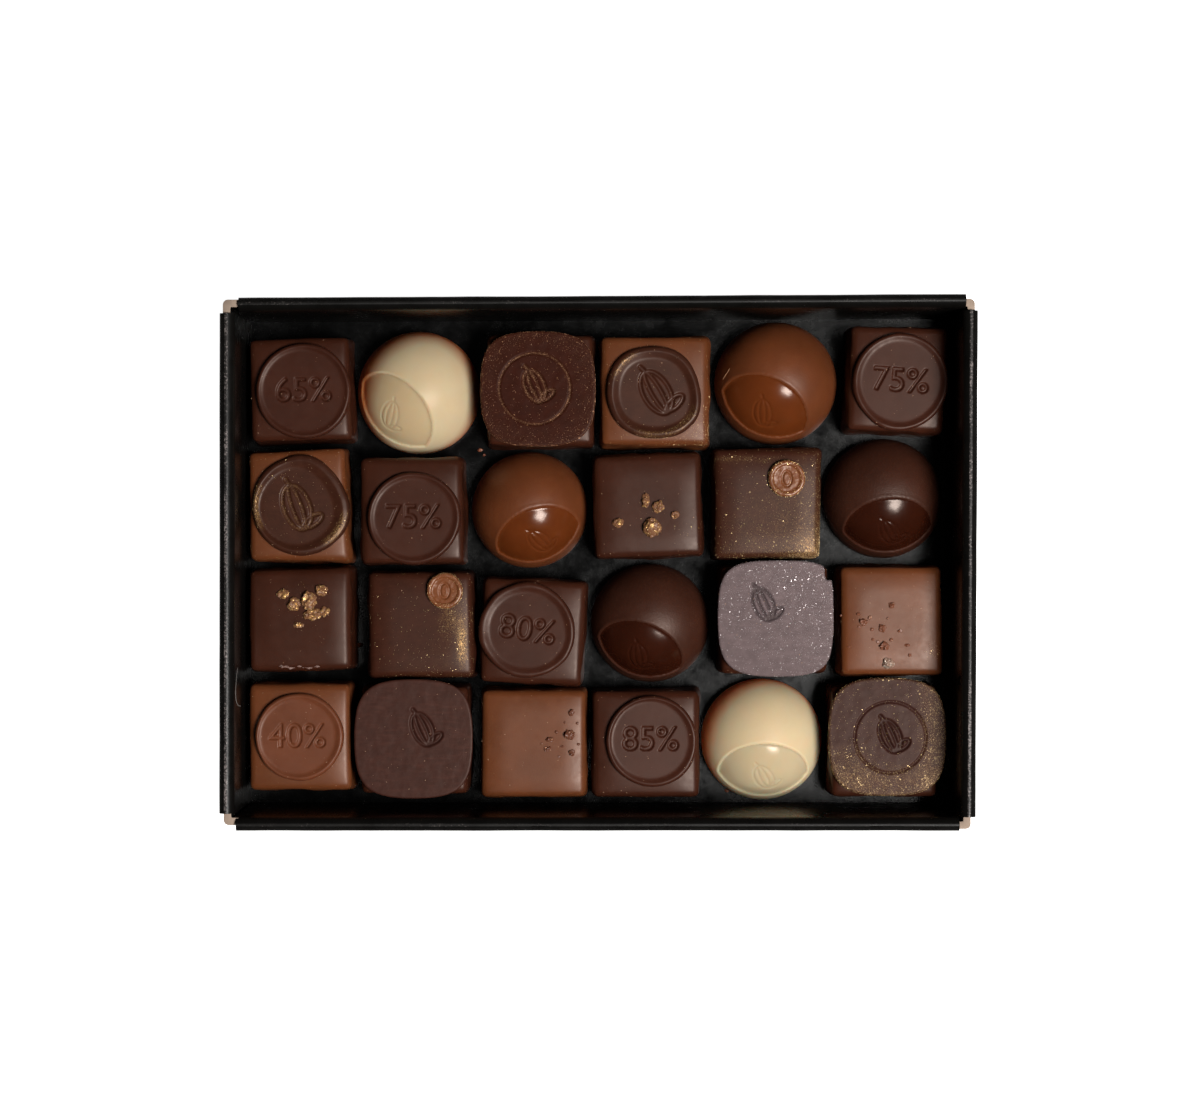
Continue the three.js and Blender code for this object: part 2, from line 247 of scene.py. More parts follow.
def chocolate(name, base, rough, glow=0.12, glow_mm=0.8, grain=0.012, shine=0.3, depths=DEEP, foot=None):
    """Chocolate of one kind.

    Glow is the share of light that travels under the skin, and foot a colour of painted shade, laid low and
    away from the lamp.
    """
    made = Recipe(name)
    swing = 0.03 if foot else 0.13
    drift = made.ramp(made.noise(9, 3), 0.3, 0.7)
    tone = made.blend(drift, colour(base, 1 - swing), colour(base, 1 + swing))
    bloom = made.ramp(made.noise(2.6, 5, 0.65), 0.52, 0.78, 0.0, swing)
    tone = made.blend(bloom, tone, colour(base, 1.7))
    if foot:
        # Painted shade: the foot colour is laid where the painted foot number says, low down and away from
        # the lamp.
        tone = made.blend(made.painted("foot"), tone, colour(foot))
    grainy = made.bump(made.noise(0.35, 3, 0.6), grain)
    waved = made.bump(made.noise(3.5, 2), 0.015, grainy)
    roughness = made.ramp(made.noise(1.8, 4, 0.6), 0.3, 0.7, rough * 0.88, min(1.0, rough * 1.12))
    return made.set(
        Base_Color=tone, Roughness=roughness, Normal=waved, IOR=1.45,
        Subsurface_Weight=glow, Subsurface_Radius=depths, Subsurface_Scale=glow_mm * MM,
        Specular_IOR_Level=shine, Specular_Tint=SHEEN,
    )


DARK_BASE = linear(54, 26, 16)
MILK_BASE = linear(93, 50, 26)
WHITE_GLOW = {"glow": 1.0, "glow_mm": 4.5, "depths": (1.0, 0.5, 0.36)}
# Colours of the painted warm shade on the white balls.
DARK_PAINTED_SHADE = (0.42, 0.12, 0.04)
WARM_PAINTED_SHADE = (1.0, 0.31, 0.11)
dark = chocolate("dark_chocolate", DARK_BASE, 0.37, shine=0.24)
dark_seal = chocolate("dark_seal", linear(56, 28, 19), 0.38, shine=0.22)
milk = chocolate("milk_chocolate", MILK_BASE, 0.4, 0.2, 1.0, shine=0.36)
milk_seal = chocolate("milk_seal", linear(97, 53, 33), 0.4, 0.2, 1.0, shine=0.3)
milk_satin = chocolate("milk_satin", linear(98, 51, 26), 0.44, 0.25, 1.2, 0.05, 0.46)
milk_polished = chocolate("milk_polished", linear(90, 42, 16), 0.19, 0.25, 1.2, 0.0, 0.32)
dark_satin = chocolate("dark_satin", linear(57, 29, 19), 0.46, grain=0.07, shine=0.42)
dark_polished = chocolate("dark_polished", linear(44, 17, 8), 0.21, grain=0.0, shine=0.28)
white_satin = chocolate(
    "white_satin", linear(195, 177, 145), 0.42, grain=0.006, foot=DARK_PAINTED_SHADE, **WHITE_GLOW,
)
white_polished = chocolate(
    "white_polished", linear(184, 163, 129), 0.24, grain=0.0, foot=DARK_PAINTED_SHADE, **WHITE_GLOW,
)
cream_satin = chocolate(
    "cream_satin", linear(203, 184, 150), 0.42, grain=0.006, foot=WARM_PAINTED_SHADE, **WHITE_GLOW,
)
cream_polished = chocolate(
    "cream_polished", linear(187, 170, 139), 0.2, grain=0.0, shine=0.36, foot=WARM_PAINTED_SHADE, **WHITE_GLOW,
)


# %% [markdown]
# ## Metal dust on chocolate
# Seven pieces are brushed with edible powder: gold on six of them and a lilac silver on one. Seen close,
# the powder is thousands of flat grains, each a tiny mirror. The shader lays the finest grains as a metal
# that shows through a fine noise, as thickly as a number painted on the mesh says. The larger flakes, which
# flash one by one, are made as meshes later, and they follow the same number.

# %% Dusted finishes
def dusted(name, base, metal, cover, rough=0.4, shine=0.3, grain=0.008, mark_powder_or_shade=0.0, brush=0.2):
    """Chocolate under fine metal powder.

    Cover is the powder's share where the dust is thickest. The mark share above 0 is the powder's share in
    marks, and below 0 it says how dark the painted shade in the marks' grooves is. Brush is how pale the
    brush strokes are.
    """
    made = Recipe(name)
    tone = made.blend(made.ramp(made.noise(3.0, 5, 0.65), 0.35, 0.7), colour(base, 0.86), colour(base, 1.16))
    stretched = {"Vector": made.place, "Rotation": (0, 0, 0.5), "Scale": (0.25, 1.6, 1)}
    streaks = made.node("ShaderNodeMapping", stretched)[0]
    brushed = made.ramp(made.noise(1.2, 4, 0.6, streaks), 0.5, 0.75, 0.0, brush)
    tone = made.blend(brushed, tone, colour(base, 1.9))
    press = made.math("MULTIPLY", made.painted("dust"), cover)
    mark = made.painted("mark") if mark_powder_or_shade else None
    if mark_powder_or_shade > 0:
        press = made.math("ADD", press, made.math("MULTIPLY", mark, mark_powder_or_shade))
    press = made.math("MULTIPLY", press, made.ramp(made.noise(2.0, 4, 0.6), 0.3, 0.7, 0.4, 1.6))
    grains = made.noise(0.24, 3, 0.7)
    share = made.math("MULTIPLY", made.ramp(grains, 0.48, 0.6), press, clamp=True)
    tone = made.blend(share, tone, colour(metal))
    # Where the mark share is below 0, the grooves are darkened: painted shade in the hollows, and on the
    # silver plate also the powder missing there.
    if mark_powder_or_shade < 0:
        tone = made.blend(made.math("MULTIPLY", mark, -mark_powder_or_shade), tone, colour(base, 0.4))
    return made.set(
        Base_Color=tone, Roughness=rough, Normal=made.bump(grains, grain),
        Metallic=made.math("MULTIPLY", share, 0.9), Specular_IOR_Level=shine, Specular_Tint=SHEEN,
    )


GOLD = linear(220, 174, 112)
SILVER = linear(186, 172, 176)
BRONZE = linear(206, 156, 118)
print("finishes so far:", len(bpy.data.materials))

# %% [markdown]
# ## Square pralines
# A square praline is a slab of filling pulled through liquid chocolate. The coat rounds every edge, runs
# down the sides and sets in a thin foot, so no side is straight and no two pieces are alike. A cube with
# its upright edges moved to the frame's corners gives each piece its own crooked outline. A bevel rounds
# it, a voxel remesh spreads an even net of faces over it, and a cloudy displacement gives the sides their
# slow swells. The coat also thins toward the rim of the top, which presses it down in a wide, soft margin.
# That margin is what catches the long highlights.

# %% Model a square praline
UPRIGHT_LENGTH = 5 * MM
CORNER_ROUND = 1.1 * MM
ROUND_OFF = 1.2 * MM
FOOT_SPREAD = 1.03
BLOCK_VOXEL = 0.45 * MM
COAT_SWELL = 1.6 * MM
SWELL_START = 0.3 * MM
SWELL_FULL = 2.4 * MM
MARGIN_START = 0.5
MARGIN_END = 1.15
MARGIN_DROP = 1.5 * MM
TOUCH = 0.1 * MM
FRAME_ROUND = 0.62 * MM


def cloud(name, size_mm, depth=2):
    texture = bpy.data.textures.new(name, "CLOUDS")
    texture.noise_scale = size_mm * MM
    texture.noise_depth = depth
    return texture


slow_swell = cloud("slow_swell", 8)
fine_swell = cloud("fine_swell", 2.2, 3)


def frame_corner(node, across, along):
    """Where the sides of the frame's block would meet on that side, at half height, before its rounding."""
    low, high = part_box(node)
    middle = (low + high) / 2
    band = [v.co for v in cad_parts[node].data.vertices if low.z + 1 * MM < v.co.z < high.z - 3 * MM]
    side = Vector((across, along, 0))
    reach = max((point - middle).dot(side) for point in band)
    far = [point for point in band if (point - middle).dot(side) > reach - TOUCH]
    corner = sum(far, Vector()) / len(far)
    return Vector((corner.x + across * FRAME_ROUND, corner.y + along * FRAME_ROUND, 0))


def weigh(piece, name, rule):
    """A vertex group whose weights follow a rule of place."""
    group = piece.vertex_groups.new(name=name)
    for vertex in piece.data.vertices:
        group.add([vertex.index], min(1.0, max(0.0, rule(vertex.co))), "REPLACE")


def upright(edge):
    first, second = edge.verts
    return abs(first.co.z - second.co.z) > UPRIGHT_LENGTH


def square_praline(node, top_mm=None):
    low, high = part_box(node)
    top = low.z + top_mm * MM if top_mm else high.z
    middle = (low + high) / 2
    half = (high - low) / 2
    nothing_selected()
    bpy.ops.mesh.primitive_cube_add(size=1, location=(middle.x, middle.y, (low.z + top) / 2))
    piece = named("praline_" + node[-3:])
    piece.scale = (high.x - low.x, high.y - low.y, top - low.z)
    settle(piece)
    with editing(piece, "EDGE") as mesh:
        for across in (-1, 1):
            for along in (-1, 1):
                target = frame_corner(node, across, along)
                choose(mesh, mesh.edges, lambda at, edge: upright(edge) and (at.x - middle.x) * across > 0
                       and (at.y - middle.y) * along > 0)
                now = next(v.co for v in mesh.verts if v.select)
                bpy.ops.transform.translate(value=(target.x - now.x, target.y - now.y, 0))
        choose(mesh, mesh.edges, lambda at, edge: upright(edge))
        bpy.ops.mesh.bevel(offset=CORNER_ROUND, segments=4, profile=0.5)
        choose(mesh, mesh.edges, lambda at, edge: at.z > top - TOUCH)
        bpy.ops.mesh.bevel(offset=ROUND_OFF, segments=5, profile=0.5)
        bpy.ops.mesh.select_mode(type="VERT")
        choose(mesh, mesh.verts, lambda at, vert: at.z < low.z + TOUCH)
        spread = (FOOT_SPREAD, FOOT_SPREAD, 1)
        bpy.ops.transform.resize(value=spread, center_override=(middle.x, middle.y, low.z))
    modify(piece, "REMESH", mode="VOXEL", voxel_size=BLOCK_VOXEL)
    weigh(piece, "sides", lambda at: (top - SWELL_START - at.z) / SWELL_FULL)
    modify(piece, "DISPLACE", texture=slow_swell, texture_coords="LOCAL", strength=COAT_SWELL,
           mid_level=0.45, vertex_group="sides")
    piece.vertex_groups.clear()

    def margin(at):
        """Grows from the middle of the top to its rim, and fades out down the sides."""
        reach = (abs((at.x - middle.x) / half.x) ** 5 + abs((at.y - middle.y) / half.y) ** 5) ** 0.2
        fade = min(1.0, (at.z - top + 5 * MM) / (4 * MM))
        pressed = max(0.0, (reach - MARGIN_START) / (MARGIN_END - MARGIN_START)) ** 2
        return fade * pressed if fade > 0 else 0.0

    weigh(piece, "margin", margin)
    modify(piece, "DISPLACE", direction="Z", strength=-MARGIN_DROP, mid_level=0.0, vertex_group="margin")
    piece.vertex_groups.clear()
    modify(piece, "SMOOTH", factor=0.5, iterations=7)
    return smooth(piece)


NIBBED_TOP_MM = 14.6
NIBBED = ("2_4", "3_1", "3_6", "4_3")
MILK = ("1_4", "2_1", "3_6", "4_1", "4_3")
GILT = {
    "2_5": dusted("gold_dusted_2_5", linear(51, 24, 16), GOLD, 0.4, shine=0.2),
    "3_2": dusted("gold_dusted_3_2", linear(52, 24, 15), GOLD, 0.6, shine=0.2),
}
squares = {}
for node in sorted(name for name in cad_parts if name.startswith("block_")):
    place = node[-3:]
    if place in GILT:
        finish, slot = GILT[place], "gold_dusted_chocolate"
    elif place in MILK:
        finish, slot = milk, "milk_chocolate"
    else:
        finish, slot = dark, "dark_chocolate"
    piece = square_praline(node, NIBBED_TOP_MM if place in NIBBED else None)
    squares[place] = finished(piece, finish, slot, node)
print("square pralines:", len(squares), "faces in the first:", len(squares["1_1"].data.polygons))

# %% [markdown]
# ## Marks pressed into chocolate
# Seals, plates and balls carry marks from their moulds: plain numerals or a small cocoa pod. Cutting them
# with a boolean would leave knife edges. Here a mark is a flat outline laid on the surface. A proximity
# modifier weighs each vertex by its distance to the mark, and a displacement sinks the near ones, so that
# the groove has soft shoulders.

# %% Numerals, the pod and how they are sunk
SIZE_TO_HEIGHT = 1.38


def numerals(words, height_mm, at, turn=0.0):
    nothing_selected()
    bpy.ops.object.text_add(location=at, rotation=(0, 0, math.radians(turn)))
    mark = bpy.context.active_object
    mark.data.body = words
    mark.data.size = height_mm * MM * SIZE_TO_HEIGHT
    mark.data.align_x = "CENTER"
    mark.data.align_y = "CENTER"
    mark.data.resolution_u = 6
    mark.data.offset = -0.07 * MM
    bpy.ops.object.convert(target="MESH")
    return settle(bpy.context.active_object)


def ellipse(centre, width, height, turn):
    bpy.ops.mesh.primitive_circle_add(vertices=56, radius=0.5, location=centre)
    ring = bpy.context.active_object
    ring.scale = (width, height, 1)
    ring.rotation_euler = (0, 0, math.radians(turn))
    return settle(ring)


def pod(height_mm, matrix):
    """A pod: a long oval, a narrow one in it for the ribs, a leaf and a short stem, as plain lines."""
    nothing_selected()
    lines = [
        ellipse((0, 0, 0), 0.56, 0.98, 24), ellipse((0, 0, 0), 0.2, 0.98, 24),
        ellipse((0.36, -0.26, 0), 0.2, 0.46, -52), ellipse((-0.24, 0.52, 0), 0.015, 0.16, 40),
    ]
    mark = join(lines)
    mark.data.transform(Matrix.Scale(height_mm * MM, 4))
    mark.data.transform(matrix)
    return mark


def keep_mark(piece):
    """Notes on every vertex how much of it the mark pressed, for a material to read."""
    numbers = piece.data.attributes.get("mark") or piece.data.attributes.new("mark", "FLOAT", "POINT")
    for vertex, number in zip(piece.data.vertices, numbers.data):
        number.value = max([number.value] + [member.weight for member in vertex.groups])


def sink(piece, mark, depth_mm, inner_mm, outer_mm, geometry, direction="Z", kept=False):
    """Sinks what lies within inner_mm of the mark, with a soft shoulder out to outer_mm.

    The mark is then removed. Kept marks stay as numbers that a material reads.
    """
    group = piece.vertex_groups.new(name="pressed")
    group.add(range(len(piece.data.vertices)), 1.0, "REPLACE")
    modify(piece, "VERTEX_WEIGHT_PROXIMITY", vertex_group="pressed", target=mark,
           proximity_mode="GEOMETRY", proximity_geometry={geometry},
           min_dist=outer_mm * MM, max_dist=inner_mm * MM, falloff_type="SMOOTH")
    if kept:
        keep_mark(piece)
    modify(piece, "DISPLACE", direction=direction, strength=-depth_mm * MM, mid_level=0.0,
           vertex_group="pressed")
    piece.vertex_groups.clear()
    remove(mark)
    return piece


# %% [markdown]
# ## Seals
# A seal is a drop of chocolate pressed by a cold round stamp. The stamp leaves a flat sunken face, and the
# chocolate that it pushes aside sets around it in a rounded rim that is never quite a circle. A short
# cylinder is inset and sunk to make the face, its rim is bevelled, and a cloudy displacement on the rim
# alone lets it run out unevenly.

# %% Model the seals
SEAL_VOXEL = 0.19 * MM
SEAL_ROOT = 1.1 * MM
SEAL_ROUND = 0.8 * MM
PULL_REACH = 11 * MM
STAMPED = {"crest": 0.0, "drop": 0.42}
WAXED = {"crest": 0.3, "drop": 0.5}


def seal(place, face_mm, face_shift_mm, pulls, run_mm, crest, drop):
    """A pressed drop. Pulls are bearings in degrees and how far the rim ran out there, in millimetres."""
    low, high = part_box("seal_" + place)
    middle = (low + high) / 2
    radius = (high.x - low.x + high.y - low.y) / 4 - 0.1 * MM
    top = high.z - crest * MM
    depth = top - low.z + SEAL_ROOT
    nothing_selected()
    centre = (middle.x, middle.y, top - depth / 2)
    bpy.ops.mesh.primitive_cylinder_add(vertices=96, radius=radius, depth=depth, location=centre)
    piece = settle(named("seal_cast_" + place))
    rim = radius - face_mm * MM
    shift = Vector((face_shift_mm[0] * MM, face_shift_mm[1] * MM, 0))
    with editing(piece, "FACE") as mesh:
        choose(mesh, mesh.faces, lambda at, face: face.normal.z > 0.9)
        bpy.ops.mesh.inset(thickness=rim * 0.45)
        bpy.ops.transform.translate(value=shift * 0.4 + Vector((0, 0, crest * MM)))
        bpy.ops.mesh.inset(thickness=rim * 0.55)
        bpy.ops.transform.translate(value=shift * 0.6 - Vector((0, 0, (crest + drop) * MM)))
        bpy.ops.mesh.select_mode(type="EDGE")
        choose(mesh, mesh.edges,
               lambda at, edge: at.z > top - TOUCH and (at.xy - middle.xy).length > radius * 0.97)
        bpy.ops.mesh.bevel(offset=SEAL_ROUND, segments=5, profile=0.5)
        bpy.ops.mesh.select_mode(type="VERT")
        for bearing, amount in pulls:
            out = Vector((math.cos(math.radians(bearing)), math.sin(math.radians(bearing)), 0))
            spot = middle + out * radius
            choose(mesh, mesh.verts, lambda at, vert: (at.xy - spot.xy).length < 1.5 * MM)
            bpy.ops.transform.translate(
                value=out * amount * MM, use_proportional_edit=True,
                proportional_size=PULL_REACH, proportional_edit_falloff="SMOOTH",
            )
    modify(piece, "REMESH", mode="VOXEL", voxel_size=SEAL_VOXEL)
    inner = face_mm * MM
    weigh(piece, "rim", lambda at: ((at.xy - middle.xy).length - inner) / rim)
    modify(piece, "DISPLACE", texture=slow_swell, texture_coords="LOCAL", strength=run_mm * MM,
           mid_level=0.5, vertex_group="rim")
    piece.vertex_groups.clear()
    modify(piece, "SMOOTH", factor=0.5, iterations=14)
    return piece, Vector((middle.x, middle.y, top - drop * MM)) + shift


# The words, the radius and shift of the face, the pulls, how uneven the rim is and the turn of the words,
# in mm and degrees.
SEALS = {
    "1_1": ("65%", 9.9, (0, 0), [(-60, 0.2)], 0.5, 1.0),
    "1_6": ("75%", 9.8, (0, 0), [(-100, 0.4), (150, -0.2)], 0.6, -4.0),
    "2_2": ("75%", 9.5, (-0.1, 0.1), [(20, 0.3)], 0.5, 0.0),
    "3_3": ("80%", 9.2, (0.2, 0), [(-30, 0.4)], 0.6, -9.0),
    "4_1": ("40%", 9.0, (-0.3, 0), [(10, 0.3)], 0.6, 0.0),
    "4_4": ("85%", 9.4, (-0.3, 0.3), [(-50, 0.2)], 0.4, 0.0),
    "1_4": (None, 8.8, (0.2, -0.2),
            [(90, -0.6), (18, -0.9), (225, 0.4), (135, 0.5), (-85, -0.5), (-45, 0.5)], 0.6, 6.0),
    "2_1": (None, 9.1, (-1.0, -0.3), [(32, -1.0), (70, 0.5), (0, 0.4), (110, 0.3)], 0.7, -4.0),
}
NUMERAL_HEIGHT_MM = 6.0
SEAL_POD_HEIGHT_MM = 11.4
gold_seal = dusted("gold_dusted_seal", linear(54, 27, 18), GOLD, 0.5, 0.38, 0.22, mark_powder_or_shade=0.1)
for place, (words, face_mm, face_shift, pulls, run, turn) in SEALS.items():
    piece, face = seal(place, face_mm, face_shift, pulls, run, **(STAMPED if words else WAXED))
    if words:
        sink(piece, numerals(words, NUMERAL_HEIGHT_MM, face, turn), 0.46, 0.02, 0.22, "FACE")
    else:
        laid = Matrix.Translation(face) @ Matrix.Rotation(math.radians(turn), 4, "Z")
        sink(piece, pod(SEAL_POD_HEIGHT_MM, laid), 0.42, 0.22, 0.6, "EDGE", kept=place == "2_1")
    smooth(piece)
    milky = place == "4_1"
    finish = milk_seal if milky else (dark_seal if words else gold_seal)
    finished(piece, finish, "milk_chocolate" if milky else "dark_chocolate", "seal_" + place)
    print("seal", place, "faces", len(piece.data.polygons))

# %% [markdown]
# ## Plates
# Four pralines wear a thin moulded plate, its outline between a square and a circle. A curve's circle
# becomes that outline when its handles are pulled out, and the curve's own extrusion and bevel give the
# thickness and soft edges.

# %% Model the plates
PLATE_VOXEL = 0.22 * MM
PLATE_ROUND = 0.35 * MM
CHIPPED = "3_5"
CHIP_AT = Vector((13.3, 11.6, 0)) * MM
CHIP_SIZE = (3.0 * MM, 4.4 * MM, 5 * MM)
CHIP_TURN = math.radians(8)
# How full the four corners are, from the top left one clockwise. A true circle has 0.552.
FULLNESS = {CHIPPED: (0.86, 0.97, 0.88, 0.82)}
USUAL_FULLNESS = (0.8, 0.8, 0.8, 0.8)


def plate(place):
    low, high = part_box("plate_" + place)
    middle = (low + high) / 2
    nothing_selected()
    bpy.ops.curve.primitive_bezier_circle_add(radius=1, location=middle)
    outline = bpy.context.active_object
    half = (high - low) / 2
    corners = FULLNESS.get(place, USUAL_FULLNESS)
    for index, point in enumerate(outline.data.splines[0].bezier_points):
        point.handle_left_type = point.handle_right_type = "FREE"
        along = (point.handle_right - point.co).normalized()
        point.handle_right = point.co + along * corners[index]
        point.handle_left = point.co - along * corners[index - 1]
    outline.scale = (half.x - PLATE_ROUND, half.y - PLATE_ROUND, 1)
    alone(outline)
    bpy.ops.object.transform_apply(location=False, rotation=False, scale=True)
    outline.data.dimensions = "2D"
    outline.data.fill_mode = "BOTH"
    outline.data.resolution_u = 24
    outline.data.extrude = half.z - PLATE_ROUND
    outline.data.bevel_depth = PLATE_ROUND
    outline.data.bevel_resolution = 2
    bpy.ops.object.convert(target="MESH")
    piece = settle(named("plate_cast_" + place))
    modify(piece, "WELD", merge_threshold=0.01 * MM)
    if place == CHIPPED:
        chip(piece, middle + CHIP_AT)
    modify(piece, "REMESH", mode="VOXEL", voxel_size=PLATE_VOXEL)
    modify(piece, "DISPLACE", texture=fine_swell, texture_coords="LOCAL", strength=0.1 * MM, mid_level=0.5)
    modify(piece, "SMOOTH", factor=0.5, iterations=2)
    top = max(v.co.z for v in piece.data.vertices)
    print("plate", place, "top above its foot in mm", round((top - low.z) / MM, 2))
    return piece, Vector((middle.x, middle.y, top))


def chip(piece, at):
    """Bites a small piece out of a plate's edge."""
    nothing_selected()
    bpy.ops.mesh.primitive_cube_add(size=1, location=at, rotation=(0, 0, CHIP_TURN))
    bite = bpy.context.active_object
    bite.scale = CHIP_SIZE
    settle(bite)
    modify(bite, "BEVEL", width=0.5 * MM, segments=3)
    modify(piece, "BOOLEAN", object=bite, operation="DIFFERENCE", solver="EXACT")
    remove(bite)


# A mark share below 0 paints shade into the pressed marks.
PLATES = {
    "1_3": dusted("gold_dusted_plate_1_3", linear(46, 17, 9), BRONZE, 0.08, 0.42, 0.08, mark_powder_or_shade=0.26),
    "3_5": dusted("silver_dusted", linear(92, 78, 79), SILVER, 0.2, 0.5, 0.12, mark_powder_or_shade=-0.75, brush=0.3),
    "4_2": dusted("plate_dark", linear(55, 30, 24), GOLD, 0.0, 0.44, 0.15, 0.02, mark_powder_or_shade=-0.4, brush=0.45),
    "4_6": dusted("gold_dusted_plate_4_6", linear(49, 26, 22), GOLD, 0.16, 0.44, 0.12, mark_powder_or_shade=-0.4),
}
PLATE_SLOTS = {"3_5": "silver_dusted_chocolate", "4_2": "dark_chocolate"}
# Where the mark and the ring lie, in mm off the plate's middle.
MARK_ON_PLATE = {"1_3": (-0.8, 0.6), "3_5": (-3.0, 3.5), "4_2": (2.2, 2.3), "4_6": (0.7, 0.2)}
PLATE_POD_HEIGHT_MM = 8.4
RINGED = {"1_3": (-0.8, 0.0), "4_6": (0.7, -0.1)}
RING_RADIUS = 8.6 * MM
for place, finish in PLATES.items():
    piece, face = plate(place)
    across, along = MARK_ON_PLATE[place]
    laid = Matrix.Translation(face + Vector((across * MM, along * MM, 0)))
    sink(piece, pod(PLATE_POD_HEIGHT_MM, laid), 0.5, 0.2, 0.5, "EDGE", kept=True)
    if place in RINGED:
        across, along = RINGED[place]
        at = face + Vector((across * MM, along * MM, 0))
        nothing_selected()
        bpy.ops.mesh.primitive_circle_add(vertices=96, radius=RING_RADIUS, location=at)
        sink(piece, settle(bpy.context.active_object), 0.3, 0.1, 0.4, "EDGE", kept=place == "1_3")
    smooth(piece)
    finished(piece, finish, PLATE_SLOTS.get(place, "gold_dusted_chocolate"), "plate_" + place)
    print("plate", place, "faces", len(piece.data.polygons))

# %% [markdown]
# ## Domed balls
# The balls come out of a two-part mould. Most of the skin is satin, and one round panel, slightly sunken,
# keeps the mirror polish of its insert, so the lamp flashes in it. A sphere is cut flat where it stands. A
# patch of a second, smaller sphere, turned to the panel's side and thickened outwards, is subtracted to
# sink the panel, and the patch is cut level near the foot, which leaves a thin lip along the ball's edge.

# %% Model the balls
BALL_VOXEL = 0.28 * MM
PANEL_TILT = math.radians(48)
PANEL_HALF = math.radians(48)
PANEL_SINK = 0.45 * MM
PANEL_FOOT = math.radians(66)
BEAD_MM = 0.09
CENTRE_RISE = 2.2 * MM
MARK_TILT = math.radians(38)
BALL_POD_HEIGHT_MM = 8.0
# Which way each panel looks, as a bearing in degrees, then the radius in mm, the two finishes and the slot.
BALLS = {
    "1_2": (-136, 15.1, white_satin, white_polished, "white_chocolate"),
    "1_5": (-116, 15.1, milk_satin, milk_polished, "milk_chocolate"),
    "2_3": (-71, 14.3, milk_satin, milk_polished, "milk_chocolate"),
    "2_6": (-86, 14.7, dark_satin, dark_polished, "dark_chocolate"),
    "3_4": (-111, 14.6, dark_satin, dark_polished, "dark_chocolate"),
    "4_5": (-90, 14.9, cream_satin, cream_polished, "white_chocolate"),
}


def paint(piece, name, rule):
    """Gives every vertex a number by a rule of its place, for a material to read."""
    numbers = piece.data.attributes.new(name, "FLOAT", "POINT")
    for vertex, number in zip(piece.data.vertices, numbers.data):
        number.value = min(1.0, max(0.0, rule(vertex.co)))


# How high the painted shade reaches on the white balls, and how much higher on the left, away from the lamp,
# in radii.
PAINTED_SHADE_REACH = {"1_2": (0.62, 0.3), "4_5": (0.4, 0.35)}


def foot_share(at, centre, radius, reach):
    """How much painted shade a point gets: it lies low down, reaches higher on the left, away from the lamp,
    and lower at the front, toward the lamp.
    """
    spoke = (at - centre) / radius
    left = max(0.0, -spoke.x * 0.94 + spoke.y * 0.34)
    return (reach[0] + reach[1] * left + 0.3 * min(0.0, spoke.y) - spoke.z) / 0.38


def ball(place, bearing, radius):
    low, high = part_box("ball_" + place)
    lean = Vector((math.cos(bearing), math.sin(bearing), 0))
    centre = Vector((
        high.x - radius if lean.x < 0.05 else low.x + radius,
        high.y - radius if lean.y < 0.05 else low.y + radius,
        low.z + CENTRE_RISE,
    ))
    toward = (lean * math.sin(PANEL_TILT) + Vector((0, 0, math.cos(PANEL_TILT)))).normalized()
    turn = toward.to_track_quat("Z", "Y").to_euler()
    nothing_selected()
    bpy.ops.mesh.primitive_uv_sphere_add(segments=112, ring_count=56, radius=radius, location=centre)
    piece = settle(named("ball_cast_" + place))
    with editing(piece, "FACE") as mesh:
        bpy.ops.mesh.select_all(action="SELECT")
        bpy.ops.mesh.bisect(plane_co=(0, 0, low.z), plane_no=(0, 0, 1), clear_inner=True, use_fill=True)
    nothing_selected()
    sunk = radius - PANEL_SINK
    bpy.ops.mesh.primitive_uv_sphere_add(
        segments=128, ring_count=60, radius=sunk, location=centre, rotation=turn,
    )
    patch = settle(bpy.context.active_object)
    with editing(patch, "FACE") as mesh:
        choose(mesh, mesh.faces,
               lambda at, face: (at - centre).normalized().dot(toward) < math.cos(PANEL_HALF))
        bpy.ops.mesh.delete(type="FACE")
        bpy.ops.mesh.select_all(action="SELECT")
        level = centre.z + radius * math.cos(PANEL_FOOT)
        bpy.ops.mesh.bisect(plane_co=(0, 0, level), plane_no=(0, 0, 1), clear_inner=True)
    alone(patch)
    bpy.ops.object.duplicate()
    border = bpy.context.active_object
    with editing(border, "FACE") as mesh:
        bpy.ops.mesh.select_all(action="SELECT")
        bpy.ops.transform.resize(value=(radius / sunk,) * 3, center_override=centre)
        bpy.ops.mesh.region_to_loop()
        bpy.ops.mesh.select_all(action="INVERT")
        bpy.ops.mesh.delete(type="EDGE_FACE")
    modify(patch, "SOLIDIFY", thickness=3 * MM, offset=1.0)
    modify(piece, "BOOLEAN", object=patch, operation="DIFFERENCE", solver="EXACT")
    remove(patch)
    modify(piece, "REMESH", mode="VOXEL", voxel_size=BALL_VOXEL)
    sink(piece, border, -BEAD_MM, 0.2, 0.9, "EDGE", "NORMAL")
    modify(piece, "SMOOTH", factor=0.5, iterations=5)
    return piece, centre, toward, level


